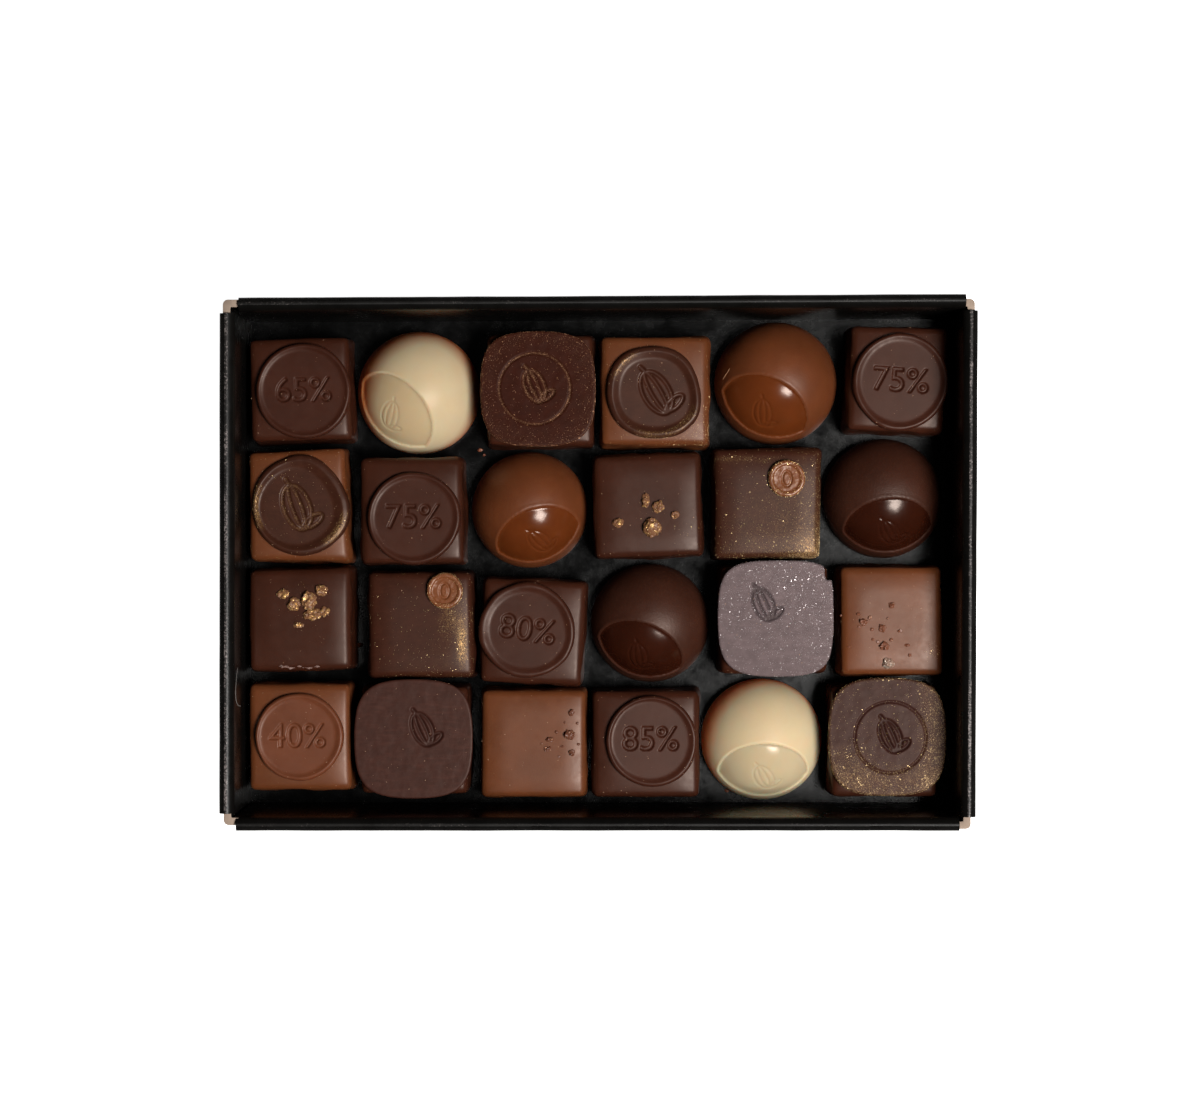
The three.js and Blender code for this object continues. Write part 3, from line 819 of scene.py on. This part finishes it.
for place, (heading, radius_mm, satin, polished, slot) in BALLS.items():
    heading = math.radians(heading)
    radius = radius_mm * MM
    piece, centre, toward, level = ball(place, heading, radius)
    lean = Vector((math.cos(heading), math.sin(heading), 0))
    out = lean * math.sin(MARK_TILT) + Vector((0, 0, math.cos(MARK_TILT)))
    turned = out.to_track_quat("Z", "Y").to_matrix().to_4x4()
    mark = pod(BALL_POD_HEIGHT_MM, Matrix.Translation(centre + out * (radius - PANEL_SINK)) @ turned)
    modify(mark, "SHRINKWRAP", target=piece, wrap_method="NEAREST_SURFACEPOINT")
    sink(piece, mark, 0.16, 0.1, 0.36, "EDGE", "NORMAL")
    smooth(piece)
    # The white balls get painted warm shade, low down and on the side away from the lamp.
    if place in PAINTED_SHADE_REACH:
        paint(piece, "foot", lambda at: foot_share(at, centre, radius, PAINTED_SHADE_REACH[place]))
    finished(piece, satin, slot, "ball_" + place)
    piece.data.materials.append(polished)
    for face in piece.data.polygons:
        spoke = face.center - centre
        inside = spoke.normalized().dot(toward) > math.cos(PANEL_HALF) and face.center.z > level
        if inside and spoke.length < radius - PANEL_SINK * 0.6:
            face.material_index = 1
    print("ball", place, "faces", len(piece.data.polygons))

# %% [markdown]
# ## Buttons
# Two of the gold-dusted squares carry a small milk button near one corner, with a rim and a plain pressed
# loop.

# %% Model the buttons
BUTTON_VOXEL = 0.14 * MM
BUTTON_DISH = 0.35 * MM
LOOP_SIZE = (2.2 * MM, 3.6 * MM, 1)


def button(place):
    low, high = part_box("button_" + place)
    middle = (low + high) / 2
    radius = (high.x - low.x) / 2 - 0.05 * MM
    nothing_selected()
    bpy.ops.mesh.primitive_cylinder_add(vertices=64, radius=radius, depth=high.z - low.z, location=middle)
    piece = settle(named("button_cast_" + place))
    with editing(piece, "FACE") as mesh:
        choose(mesh, mesh.faces, lambda at, face: face.normal.z > 0.9)
        bpy.ops.mesh.inset(thickness=0.9 * MM)
        bpy.ops.mesh.inset(thickness=0.4 * MM)
        bpy.ops.transform.translate(value=(0, 0, -BUTTON_DISH))
        bpy.ops.mesh.select_mode(type="EDGE")
        choose(mesh, mesh.edges,
               lambda at, edge: at.z > high.z - TOUCH and (at.xy - middle.xy).length > radius * 0.95)
        bpy.ops.mesh.bevel(offset=0.55 * MM, segments=4, profile=0.5)
    modify(piece, "REMESH", mode="VOXEL", voxel_size=BUTTON_VOXEL)
    modify(piece, "DISPLACE", texture=fine_swell, texture_coords="LOCAL", strength=0.3 * MM, mid_level=0.5)
    modify(piece, "SMOOTH", factor=0.5, iterations=3)
    return piece, Vector((middle.x, middle.y, high.z - BUTTON_DISH))


button_finish = chocolate("button_milk", linear(108, 62, 36), 0.3, 0.15, 0.8, shine=0.5)
for place in ("2_5", "3_2"):
    piece, face = button(place)
    nothing_selected()
    bpy.ops.mesh.primitive_circle_add(vertices=48, radius=0.5, location=face)
    loop = bpy.context.active_object
    loop.scale = LOOP_SIZE
    sink(piece, settle(loop), 0.35, 0.12, 0.42, "EDGE")
    smooth(piece)
    finished(piece, button_finish, "milk_chocolate", "button_" + place)

# %% [markdown]
# ## The tray
# The tray is black card folded over on itself. Its walls end in a low ridge, and the fold along the ridge
# is rubbed pale. The folded tops stop short of the corners, where the bare tan board shows. Each wall
# starts as a cube with its top edge moved up into a ridge, cut into many lengths so that the ridge can
# waver, and bevelled where hands wear it.

# %% Card finishes
def card(name, base, rough, worn=None, cover=0.0, shine=0.15, patchy=0.25):
    """Coated card. Worn is the colour that rubbing shows, over a share of the face."""
    made = Recipe(name)
    fibres = made.noise(0.5, 6, 0.7)
    tone = made.blend(made.ramp(made.noise(7, 5, 0.65), 0.3, 0.7), colour(base, 0.75), colour(base, 1.35))
    if worn:
        long_run = made.ramp(made.noise(12, 3), 0.35, 0.65, -0.08, 0.08)
        rubbed = made.math("ADD", made.math("ADD", made.noise(0.45, 4, 0.7), long_run), cover - 0.5)
        tone = made.blend(made.ramp(rubbed, 0.42, 0.6), tone, colour(worn))
    grainy = made.bump(fibres, 0.02)
    roughness = made.ramp(made.noise(5.0, 6, 0.7), 0.32, 0.68, rough * (1 - patchy), rough * (1 + patchy))
    return made.set(Base_Color=tone, Roughness=roughness, Normal=grainy, Specular_IOR_Level=shine)


card_black = card("black_card", linear(11, 10, 9), 0.3, shine=0.16)
card_floor = card("black_floor", linear(6, 6, 6), 0.24, shine=0.19, patchy=0.4)
crease_soft = card("soft_crease", linear(20, 19, 18), 0.42, linear(92, 86, 84), 0.3, 0.16)
crease_worn = card("worn_crease", linear(30, 28, 27), 0.42, linear(138, 128, 126), 0.42, 0.2)
card_edge = card("rubbed_edge", linear(20, 19, 18), 0.4, linear(96, 90, 86), 0.32)
card_tan = card("bare_board", linear(150, 132, 118), 0.8, linear(124, 106, 92), 0.3)


# %% Model the tray
tray_low, tray_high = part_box("tray")
HEIGHT = tray_high.z
BACK_LEFT, FRONT_LEFT = Vector((-89.8, 62.7)) * MM, Vector((-89.9, -63.6)) * MM
FRONT_RIGHT, BACK_RIGHT = Vector((89.3, -63.6)) * MM, Vector((89.9, 63.6)) * MM
FLOOR = 1.6 * MM
RIDGE_RISE = 0.9 * MM
RIDGE_SHARE = 0.45
CUT_LENGTH = 2 * MM
# The inner edge, the ridge and the outer edge: between which shares of the thickness each lies, and how
# round it is.
FOLDS = ((0.9, 1.1, 1.3 * MM), (0.2, 0.6, 0.42 * MM), (-1.0, 0.1, 0.3 * MM))


def wall(name, start, end, start_gap_mm, end_gap_mm, thickness_mm, lean_mm=0.0):
    """A folded wall along its outer line, with the inside of the tray on its left."""
    along = (end - start).normalized()
    first = start + along * start_gap_mm * MM
    last = end - along * end_gap_mm * MM
    length = (last - first).length
    thick = thickness_mm * MM
    shoulder = HEIGHT - RIDGE_RISE
    nothing_selected()
    bpy.ops.mesh.primitive_cube_add(size=1, location=(length / 2, thick / 2, shoulder / 2))
    piece = named(name)
    piece.scale = (length, thick, shoulder)
    settle(piece)
    with editing(piece, "FACE") as mesh:
        bpy.ops.mesh.select_all(action="SELECT")
        bpy.ops.mesh.bisect(plane_co=(0, thick * RIDGE_SHARE, 0), plane_no=(0, 1, 0))
        bpy.ops.mesh.select_mode(type="EDGE")
        choose(mesh, mesh.edges,
               lambda at, edge: at.z > shoulder - TOUCH and abs(at.y - thick * RIDGE_SHARE) < 0.05 * MM)
        bpy.ops.transform.translate(value=(0, 0, RIDGE_RISE))
        choose(mesh, mesh.verts, lambda at, vert: at.z < 1 * MM and at.y > thick - TOUCH)
        bpy.ops.transform.translate(value=(0, lean_mm * MM, 0))
        bpy.ops.mesh.select_mode(type="FACE")
        for cut in range(1, int(length / CUT_LENGTH)):
            bpy.ops.mesh.select_all(action="SELECT")
            bpy.ops.mesh.bisect(plane_co=(cut * CUT_LENGTH, 0, 0), plane_no=(1, 0, 0))
        bpy.ops.mesh.select_mode(type="EDGE")
        for nearest, farthest, rounding in FOLDS:
            choose(mesh, mesh.edges, lambda at, edge: at.z > shoulder - 0.01 * MM
                   and edge.calc_face_angle(0.0) > 0.1 and thick * nearest < at.y < thick * farthest
                   and abs(edge.verts[0].co.x - edge.verts[1].co.x) > TOUCH)
            bpy.ops.mesh.bevel(offset=rounding, segments=4, profile=0.5)
    turned = Matrix.Rotation(math.atan2(along.y, along.x), 4, "Z")
    piece.data.transform(Matrix.Translation(first.to_3d()) @ turned)
    return piece


def finish_wall(piece, start, end, crease):
    """Black all over, with the worn fold along the ridge and a rubbed line along the outer edge."""
    along = (end - start).normalized()
    inward = Vector((-along.y, along.x))
    for finish in (card_black, crease, card_edge):
        piece.data.materials.append(finish)
    for face in piece.data.polygons:
        across = (face.center.to_2d() - start).dot(inward)
        if face.center.z > HEIGHT - 0.2 * MM and abs(face.normal.z) > 0.5:
            face.material_index = 1
        elif face.center.z > HEIGHT - RIDGE_RISE - 0.2 * MM and across < 0.22 * MM:
            face.material_index = 2


# The gaps at both ends, the thickness and how far the foot leans in, all in mm.
WALLS = (
    ("wall_left", BACK_LEFT, FRONT_LEFT, 3.7, 4.1, 3.6, 0.0, crease_worn),
    ("wall_front", FRONT_LEFT, FRONT_RIGHT, 4.0, 3.9, 3.2, 0.9, crease_soft),
    ("wall_right", FRONT_RIGHT, BACK_RIGHT, 3.3, 3.9, 3.6, 0.0, crease_worn),
    ("wall_back", BACK_RIGHT, BACK_LEFT, 2.9, 4.5, 3.2, 0.0, crease_soft),
)
waver = cloud("waver", 14, 3)
tray_parts = []
for name, start, end, first_gap, last_gap, thickness, lean, crease in WALLS:
    piece = wall(name, start, end, first_gap, last_gap, thickness, lean)
    modify(piece, "DISPLACE", texture=waver, texture_coords="LOCAL", strength=0.16 * MM, mid_level=0.5)
    finish_wall(piece, start, end, crease)
    tray_parts.append(smooth(piece, 40))

FLOOR_INSET = 1.5 * MM
nothing_selected()
bpy.ops.mesh.primitive_cube_add(size=1, location=(0, 0, FLOOR / 2))
floor_card = named("floor_card")
size = tray_high - tray_low
floor_card.scale = (size.x - 2 * FLOOR_INSET, size.y - 2 * FLOOR_INSET, FLOOR)
settle(floor_card)
floor_card.data.materials.append(card_floor)
tray_parts.append(floor_card)

# The outer point of each corner, and how far its board reaches along x and y, in mm.
CORNERS = (
    ((-89.1, 62.3), 4.2, 3.8), ((-88.9, -62.3), 3.6, 3.4),
    ((88.2, -63.2), 3.3, 3.4), ((89.2, 62.5), 2.8, 3.2),
)
BOARD = 1.8 * MM
CORNER_TOP = HEIGHT - 1.2 * MM


def corner_board(index, at, reach_x, reach_y):
    """An angle of bare board: a cube with its outer edge rounded, cut to an L by a second cube."""
    x, y = at[0] * MM, at[1] * MM
    in_x, in_y = -math.copysign(1, x), -math.copysign(1, y)
    wide, deep = reach_x * MM, reach_y * MM
    nothing_selected()
    centre = Vector((x + in_x * wide / 2, y + in_y * deep / 2, CORNER_TOP / 2))
    bpy.ops.mesh.primitive_cube_add(size=1, location=centre)
    piece = named("corner_board_" + str(index))
    piece.scale = (wide, deep, CORNER_TOP)
    settle(piece)
    with editing(piece, "EDGE") as mesh:
        choose(mesh, mesh.edges, lambda at, edge: abs(at.x - x) < TOUCH and abs(at.y - y) < TOUCH)
        bpy.ops.mesh.bevel(offset=1.2 * MM, segments=5, profile=0.5)
    nothing_selected()
    bpy.ops.mesh.primitive_cube_add(size=1, location=centre + Vector((in_x * BOARD, in_y * BOARD, 0)))
    bite = bpy.context.active_object
    bite.scale = (wide, deep, CORNER_TOP * 1.2)
    settle(bite)
    modify(piece, "BOOLEAN", object=bite, operation="DIFFERENCE", solver="EXACT")
    remove(bite)
    modify(piece, "BEVEL", width=0.25 * MM, segments=2, limit_method="ANGLE", angle_limit=math.radians(60))
    piece.data.materials.append(card_tan)
    piece.data.materials.append(card_black)
    for face in piece.data.polygons:
        if face.center.z < CORNER_TOP - 0.3 * MM:
            face.material_index = 1
    return smooth(piece, 40)


for index, (at, reach_x, reach_y) in enumerate(CORNERS):
    tray_parts.append(corner_board(index, at, reach_x, reach_y))
tray = join(tray_parts)
tray.name = "tray_card"
finished(tray, card_black, "black_card", "tray")
print("tray faces:", len(tray.data.polygons))

# %% [markdown]
# ## Nibs and crumbs
# Two dark squares carry roasted nibs rolled in gold, and two milk squares carry salt and crushed bits. Each
# is a small ball, broken into a rough lump by a displacement, and sunk a little into the coat.

# %% Model the nibs
# Each lump's place, length and width in mm.
NIBS = {
    "2_4": [
        (11.4, 14.9, 2.2, 3.4), (14.4, 13.5, 2.7, 3.1), (18.4, 11.5, 1.9, 1.9), (12.9, 8.4, 4.4, 4.6),
        (4.7, 9.6, 2.9, 2.2),
    ],
    "3_1": [
        (-76.5, -7.7, 3.1, 2.4), (-73.9, -10.1, 3.1, 2.9), (-70.2, -9.3, 3.6, 4.6), (-67.3, -6.7, 2.9, 2.7),
        (-69.3, -12.6, 4.4, 2.9), (-66.3, -12.0, 2.2, 2.2), (-72.8, -15.2, 2.7, 1.5),
    ],
    "3_6": [
        (71.1, -10.3, 1.7, 1.5), (64.3, -14.5, 2.0, 1.8), (68.8, -15.9, 1.9, 1.7), (69.3, -20.3, 2.6, 2.2),
        (73.1, -16.7, 1.2, 1.0), (74.8, -20.1, 1.3, 1.1), (75.5, -22.5, 0.9, 0.8), (60.7, -20.5, 0.8, 0.7),
        (59.0, -13.0, 0.8, 0.7), (62.9, -12.6, 1.1, 0.9), (63.2, -15.6, 0.9, 0.8), (65.7, -13.4, 1.2, 1.0),
        (66.3, -16.2, 0.9, 0.8), (67.6, -19.3, 1.0, 0.9), (70.9, -18.9, 0.9, 0.9), (66.4, -18.7, 0.8, 0.7),
        (70.1, -13.6, 0.8, 0.7),
    ],
    "3_6_salt": [(70.3, -24.6, 3.0, 2.5)],
    "4_3": [
        (-6.6, -36.5, 1.7, 1.5), (-7.1, -41.8, 2.7, 2.4), (-11.7, -43.0, 1.7, 1.5), (-12.3, -45.4, 1.9, 1.5),
        (-6.5, -46.2, 1.7, 1.7), (-8.9, -44.6, 1.1, 0.9), (-10.2, -41.2, 0.9, 0.8), (-9.6, -47.1, 0.8, 0.7),
        (-5.2, -39.1, 0.9, 0.8), (-8.2, -38.9, 0.8, 0.7), (-13.8, -44.0, 0.8, 0.7), (-4.9, -44.1, 0.9, 0.8),
    ],
    "3_1_scuff": [
        (-76.6, -25.2, 2.6, 0.7), (-74.6, -25.5, 1.9, 0.5), (-72.6, -25.2, 1.2, 0.5),
        (-70.6, -25.5, 2.4, 0.6), (-68.7, -25.3, 1.6, 0.5),
    ],
    "floor_crumbs": [
        (-29.4, 27.8, 1.3, 1.0), (-28.4, 26.6, 0.7, 0.6), (-59.1, -20.5, 1.5, 1.3), (31.8, -56.6, 1.2, 0.9),
        (33.3, -56.4, 0.8, 0.7), (14.4, -0.9, 1.1, 0.9),
    ],
}
rubble = cloud("rubble", 0.9, 4)


def under(host, x_mm, y_mm):
    """The point of the host that a ray from straight above meets there."""
    return host.ray_cast(Vector((x_mm, y_mm, 60)) * MM, Vector((0, 0, -1)))[1]


def nib(place, index, x, y, long, wide):
    """A lump of that size, resting on whatever lies under that place."""
    high = min(long, wide) * 0.8
    rest = under(squares.get(place[:3], tray), x, y) + Vector((0, 0, high * 0.2 - 0.12)) * MM
    nothing_selected()
    bpy.ops.mesh.primitive_ico_sphere_add(subdivisions=4 if long > 1.4 else 2, radius=0.5, location=rest)
    piece = named("nib_" + place + "_" + str(index))
    piece.scale = (long * MM, wide * MM, high * MM)
    settle(piece)
    roughen = min(1.5, long * 0.7) * MM
    modify(piece, "DISPLACE", texture=rubble, texture_coords="LOCAL", strength=roughen, mid_level=0.55)
    return smooth(piece, 30)


def gilded(name, base, metal, cover):
    made = Recipe(name)
    patches = made.ramp(made.noise(1.0, 4, 0.6), 0.62 - cover * 0.4, 0.7 - cover * 0.4)
    grainy = made.bump(made.noise(0.3, 4, 0.7), 0.08)
    tone = made.blend(patches, colour(base), colour(metal))
    shiny = made.math("MULTIPLY", patches, 0.8)
    return made.set(Base_Color=tone, Metallic=shiny, Roughness=0.42, Normal=grainy)


NIB_FINISH = {
    "2_4": gilded("gilded_nibs", linear(118, 78, 52), GOLD, 0.16),
    "3_1": gilded("gilded_nibs_rich", linear(120, 80, 52), GOLD, 0.26),
    "3_6": gilded("crumbs_under_coat", linear(112, 66, 46), linear(160, 120, 96), 0.1),
    "3_6_salt": gilded("salt", linear(140, 112, 96), linear(206, 192, 178), 0.2),
    "4_3": gilded("crushed_bits", linear(98, 57, 40), linear(150, 108, 80), 0.1),
    "3_1_scuff": gilded("scraped_coat", linear(120, 92, 84), linear(150, 128, 120), 0.2),
    "floor_crumbs": gilded("fallen_crumbs", linear(104, 54, 34), linear(150, 108, 80), 0.1),
}
for place, rows in NIBS.items():
    nibs = join([nib(place, index, *row) for index, row in enumerate(rows)])
    nibs.name = "nibs_" + place
    host = squares.get(place[:3])
    finished(nibs, NIB_FINISH[place], host["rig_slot"] if host else "dark_chocolate")

# %% [markdown]
# ## Scratches
# Two scratches show: a hooked one on the left wall, where the card's black coat is torn, and a short one on
# a milk ball. Each is a path through five points, made round and thin by the curve's own bevel.

# %% Model the scratches
def scratch(name, points, width_mm, finish, slot):
    nothing_selected()
    bpy.ops.curve.primitive_nurbs_path_add(radius=1)
    line = bpy.context.active_object
    for point, place in zip(line.data.splines[0].points, points):
        point.co = (*place, 1)
    line.data.splines[0].order_u = 3
    line.data.bevel_depth = width_mm / 2 * MM
    line.data.bevel_resolution = 1
    bpy.ops.object.convert(target="MESH")
    return finished(settle(named(name)), finish, slot)


WALL_INSIDE = -86.3
TEAR = ((-25.2, 26.0), (-29.0, 29.2), (-32.4, 29.4), (-34.4, 25.0), (-34.6, 20.5))
torn = [Vector((WALL_INSIDE, y, z)) * MM for y, z in TEAR]
torn_coat = Recipe("torn_coat").set(Base_Color=colour(linear(120, 114, 110)), Roughness=0.8)
scratch("scratch_on_wall", torn, 0.22, torn_coat, "black_card")
ball_1_5 = bpy.data.objects["ball_cast_1_5"]
scored = [under(ball_1_5, 30.4 + 0.4 * step, 44.8 + 0.62 * step) for step in range(5)]
scored_coat = Recipe("scored_coat").set(Base_Color=colour(linear(190, 140, 104)), Roughness=0.6)
scratch("scratch_on_ball", scored, 0.14, scored_coat, "milk_chocolate")

# %% [markdown]
# ## Flakes
# The powder's larger grains lie on the coat as separate flakes, and each flashes only when it happens to
# face the lamp. One tiny four-sided cone is the flake. Geometry nodes strew copies of it over a piece,
# thickly where its painted dust says so, with a random turn and size for each. The result is applied, so
# that the flakes are plain mesh.

# %% Strew flakes
MOST_TILT = 0.7
FULL_TURN = 6.28
DUSTED_DEPTH = 2.2 * MM


def flake(name, radius_mm, finish):
    nothing_selected()
    bpy.ops.mesh.primitive_cone_add(vertices=4, radius1=radius_mm * MM, depth=radius_mm * 0.9 * MM)
    piece = named(name)
    piece.data.materials.append(finish)
    return piece


def strewing(name, grain, per_mm2, seed):
    """Nodes that replace a piece by grains strewn on it, as thickly as its painted dust asks."""
    tree = bpy.data.node_groups.new(name, "GeometryNodeTree")
    for way in ("INPUT", "OUTPUT"):
        tree.interface.new_socket("Geometry", in_out=way, socket_type="NodeSocketGeometry")

    def node(kind, inputs=None, **settings):
        return new_node(tree, kind, inputs, settings)

    source = node("NodeGroupInput")
    thick = node("GeometryNodeInputNamedAttribute", {"Name": "dust"})
    density = node("ShaderNodeMath", {0: thick["Attribute"], 1: per_mm2 / MM / MM}, operation="MULTIPLY")
    scatter = {"Mesh": source[0], "Density": density[0], "Seed": seed}
    points = node("GeometryNodeDistributePointsOnFaces", scatter)
    turns = {0: (-MOST_TILT, -MOST_TILT, 0), 1: (MOST_TILT, MOST_TILT, FULL_TURN)}
    tilt = node("FunctionNodeRandomValue", turns, data_type="FLOAT_VECTOR")
    size = node("FunctionNodeRandomValue", {2: 0.5, 3: 1.5})
    shape = node("GeometryNodeObjectInfo", {"Object": grain})
    laid = {"Points": points["Points"], "Instance": shape["Geometry"], "Rotation": tilt[0], "Scale": size[1]}
    copies = node("GeometryNodeInstanceOnPoints", laid)
    real = node("GeometryNodeRealizeInstances", {0: copies[0]})
    node("NodeGroupOutput", {0: real[0]})
    return tree


def strew(host_name, grain, per_mm2, rule, seed):
    """Flakes on the named piece.

    The rule says how thickly they lie, from 0 to 1, by the place in mm off the piece's middle.
    """
    host = bpy.data.objects[host_name]
    low = Vector([min(v.co[axis] for v in host.data.vertices) for axis in range(3)])
    high = Vector([max(v.co[axis] for v in host.data.vertices) for axis in range(3)])
    middle = (low + high) / 2
    lowest = high.z - DUSTED_DEPTH
    if "dust" in host.data.attributes:
        host.data.attributes.remove(host.data.attributes["dust"])

    def thickness(at):
        return rule((at.x - middle.x) / MM, (at.y - middle.y) / MM) if at.z > lowest else 0.0

    paint(host, "dust", thickness)
    alone(host)
    bpy.ops.object.duplicate()
    return modify(bpy.context.active_object, "NODES", node_group=strewing("strewing", grain, per_mm2, seed))


def joined(name, pieces, slot):
    dust = join(pieces)
    dust.name = name
    print(name, "faces", len(dust.data.polygons))
    finished(dust, dust.data.materials[0], slot)


def metal_flake(name, tone, rough):
    return Recipe(name).set(Base_Color=colour(tone), Metallic=0.8, Roughness=rough)


gold_flake = flake("gold_flake", 0.085, metal_flake("gold_flakes", linear(236, 204, 150), 0.36))
bronze_flake = flake("bronze_flake", 0.075, metal_flake("bronze_flakes", linear(206, 154, 120), 0.4))
silver_flake = flake("silver_flake", 0.08, metal_flake("silver_flakes", linear(236, 226, 228), 0.36))
pale_crumbs = Recipe("pale_crumbs").set(Base_Color=colour(linear(190, 150, 120)), Roughness=0.7)
pale_grain = flake("pale_grain", 0.1, pale_crumbs)


def near(value, centre, width):
    return max(0.0, 1 - abs(value - centre) / width)


def rise(value, start, width):
    """0 below the start, 1 from one width above it, and a straight slope between."""
    return min(1.0, max(0.0, (value - start) / width))


def ring_part(x, y, inner, outer, start, end):
    """1 inside a part of a ring, between two bearings counted anticlockwise."""
    away = math.hypot(x, y)
    turn = (math.degrees(math.atan2(y, x)) % 360 - start) % 360
    spread = (end - start) % 360
    along = min(1.0, turn / 18, (spread - turn) / 18) if turn < spread else 0.0
    return along * min(rise(away, inner, 0.5), rise(-away, -outer, 0.5))


def plate_edge(x, y, half=14.3):
    """0 at a plate's middle and 1 on its outline."""
    return (abs(x / half) ** 3.2 + abs(y / half) ** 3.2) ** (1 / 3.2)


def even(share):
    return lambda x, y: share


def button_rim(rim, dish):
    return lambda x, y: rim if math.hypot(x, y) > 3.3 else dish


# The pale specks: which pieces, how many on a square millimetre, and the first seed.
SPECKLED = (
    ("praline_", squares, 0.05, 40), ("seal_cast_", SEALS, 0.06, 70), ("plate_cast_", PLATES, 0.06, 90),
)
specks = []
for kind, places, per_mm2, seed in SPECKLED:
    for index, place in enumerate(places):
        specks.append(strew(kind + place, pale_grain, per_mm2, even(1.0), seed + index))
joined("pale_specks", specks, "milk_chocolate")

# The gold: each row has the piece, how many flakes on a square millimetre, and the rule of its place.
GOLDEN = (
    ("praline_2_5", 15, lambda x, y: 0.03 + 0.2 * rise(x - y, -10, 32) + 0.8 * rise(x - y, 12, 10) ** 2
     + 0.2 * near(y, 10.6, 1.2) * rise(-x, -4, 6)),
    ("praline_3_2", 22, lambda x, y: 0.012 + 0.8 * min(1, 1.3 * near(x, 10.0, 1.5)) * rise(y, -11, 5)
     * rise(-y, -3, 6) + 0.3 * near(x, 7.6, 4.0) * near(y, 1.5, 6.0) + 0.03 * rise(x - y, 2, 12)),
    ("plate_cast_4_6", 13, lambda x, y: 0.06 + 0.5 * rise(x, 6.5, 4) + 0.5 * rise(-y, 5.5, 4)
     + 0.3 * rise(-x, 2, 5) * rise(-y, 0, 4) + 0.3 * rise(plate_edge(x, y), 0.93, 0.04)),
    ("seal_cast_1_4", 7, lambda x, y: 0.6 * ring_part(x, y, 9.4, 11.0, 110, 165)
     + 0.3 * ring_part(x, y, 9.4, 11.6, 240, 345) + 0.015),
    ("seal_cast_2_1", 7, lambda x, y: 0.7 * ring_part(x, y, 10.2, 12.0, 150, 215)
     + 0.6 * ring_part(x, y, 9.6, 11.8, 295, 355) + 0.02),
    ("praline_1_4", 8, lambda x, y: 0.02 + 0.6 * max(0, (x - y - 13) / 10)),
    ("praline_2_1", 7, lambda x, y: 0.03 + 0.7 * near(x, 10.4, 1.5) * near(y, -4.0, 6.0)),
    ("button_cast_2_5", 14, button_rim(0.8, 0.15)),
    ("button_cast_3_2", 14, button_rim(0.6, 0.06)),
    ("nibs_2_4", 5, even(0.5)),
    ("nibs_3_1", 6, even(0.7)),
    ("praline_2_4", 2.5, lambda x, y: 0.3 * near(math.hypot(x - 1, y + 2), 0, 6) + 0.1 * (x > 6 and y < -4)),
    ("praline_3_1", 2.5, lambda x, y: 0.35 * near(math.hypot(x - 1, y - 4), 0, 7)),
    ("praline_3_6", 5, lambda x, y: near(math.hypot(x - 9.8, y + 7.5), 0, 2.5)),
)
gold = []
for index, (host_name, per_mm2, rule) in enumerate(GOLDEN):
    gold.append(strew(host_name, gold_flake, per_mm2, rule, 1 + index))
joined("gold_dust", gold, "gold_dusted_chocolate")


def bronze_rule(x, y):
    """A little everywhere, more toward the corners, most on the outline and along the pressed ring."""
    spread = 0.08 + 0.3 * max(0, (math.hypot(x, y) - 9) / 5)
    return spread + 0.8 * rise(plate_edge(x, y), 0.94, 0.03) + 0.9 * ring_part(x + 0.8, y, 8.2, 9.0, 290, 50)


bronze = strew("plate_cast_1_3", bronze_flake, 9, bronze_rule, 21)
joined("bronze_dust", [bronze], "gold_dusted_chocolate")
silver = strew("plate_cast_3_5", silver_flake, 12, lambda x, y: 0.14 + 0.4 * rise(x + y, -14, 34), 31)
joined("silver_dust", [silver], "silver_dusted_chocolate")
remove(gold_flake, bronze_flake, silver_flake, pale_grain)

# %% [markdown]
# ## Floor, lamp and camera
# The photograph was taken from straight above with one soft lamp, a little to the right and front of
# overhead. The camera stands 650 mm above the tray's floor, and its lens makes one millimetre at the floor
# about four pixels.

# %% The stage
nothing_selected()
bpy.ops.mesh.primitive_plane_add(size=6, location=(0, 0, -0.2 * MM))
ground = named("ground")
WHITE = (1, 1, 1, 1)
pale = Recipe("pale_ground")
pale.set(Base_Color=(0.86, 0.86, 0.86, 1), Roughness=0.9, Emission_Color=WHITE, Emission_Strength=1.0)
ground.data.materials.append(pale.material)

CAMERA_RISE = 650 * MM
PICTURE_WIDTH = 1195 * 0.2481 * MM
SENSOR = 36
camera_data = bpy.data.cameras.new("camera")
camera_data.sensor_width = SENSOR
camera_data.lens = SENSOR * CAMERA_RISE / PICTURE_WIDTH
camera = bpy.data.objects.new("camera", camera_data)
camera.location = (-0.28 * MM, 0.57 * MM, FLOOR + CAMERA_RISE)
bpy.context.scene.collection.objects.link(camera)
bpy.context.scene.camera = camera

TOWARD_LAMP = Vector((0.37, -0.2, 0.9)).normalized()
LAMP_DISTANCE = 1.0
light = bpy.data.lights.new("key", "AREA")
light.shape = "SQUARE"
light.size = 0.32
light.energy = 14.1
light.color = (1.0, 0.98, 0.95)
lamp = bpy.data.objects.new("key", light)
lamp.location = TOWARD_LAMP * LAMP_DISTANCE
lamp.rotation_euler = TOWARD_LAMP.to_track_quat("Z", "Y").to_euler()
bpy.context.scene.collection.objects.link(lamp)

world = bpy.data.worlds.new("studio")
world.use_nodes = True
background = world.node_tree.nodes["Background"]
background.inputs["Color"].default_value = WHITE
background.inputs["Strength"].default_value = 0.03
bpy.context.scene.world = world
bpy.context.scene.view_settings.view_transform = "Standard"
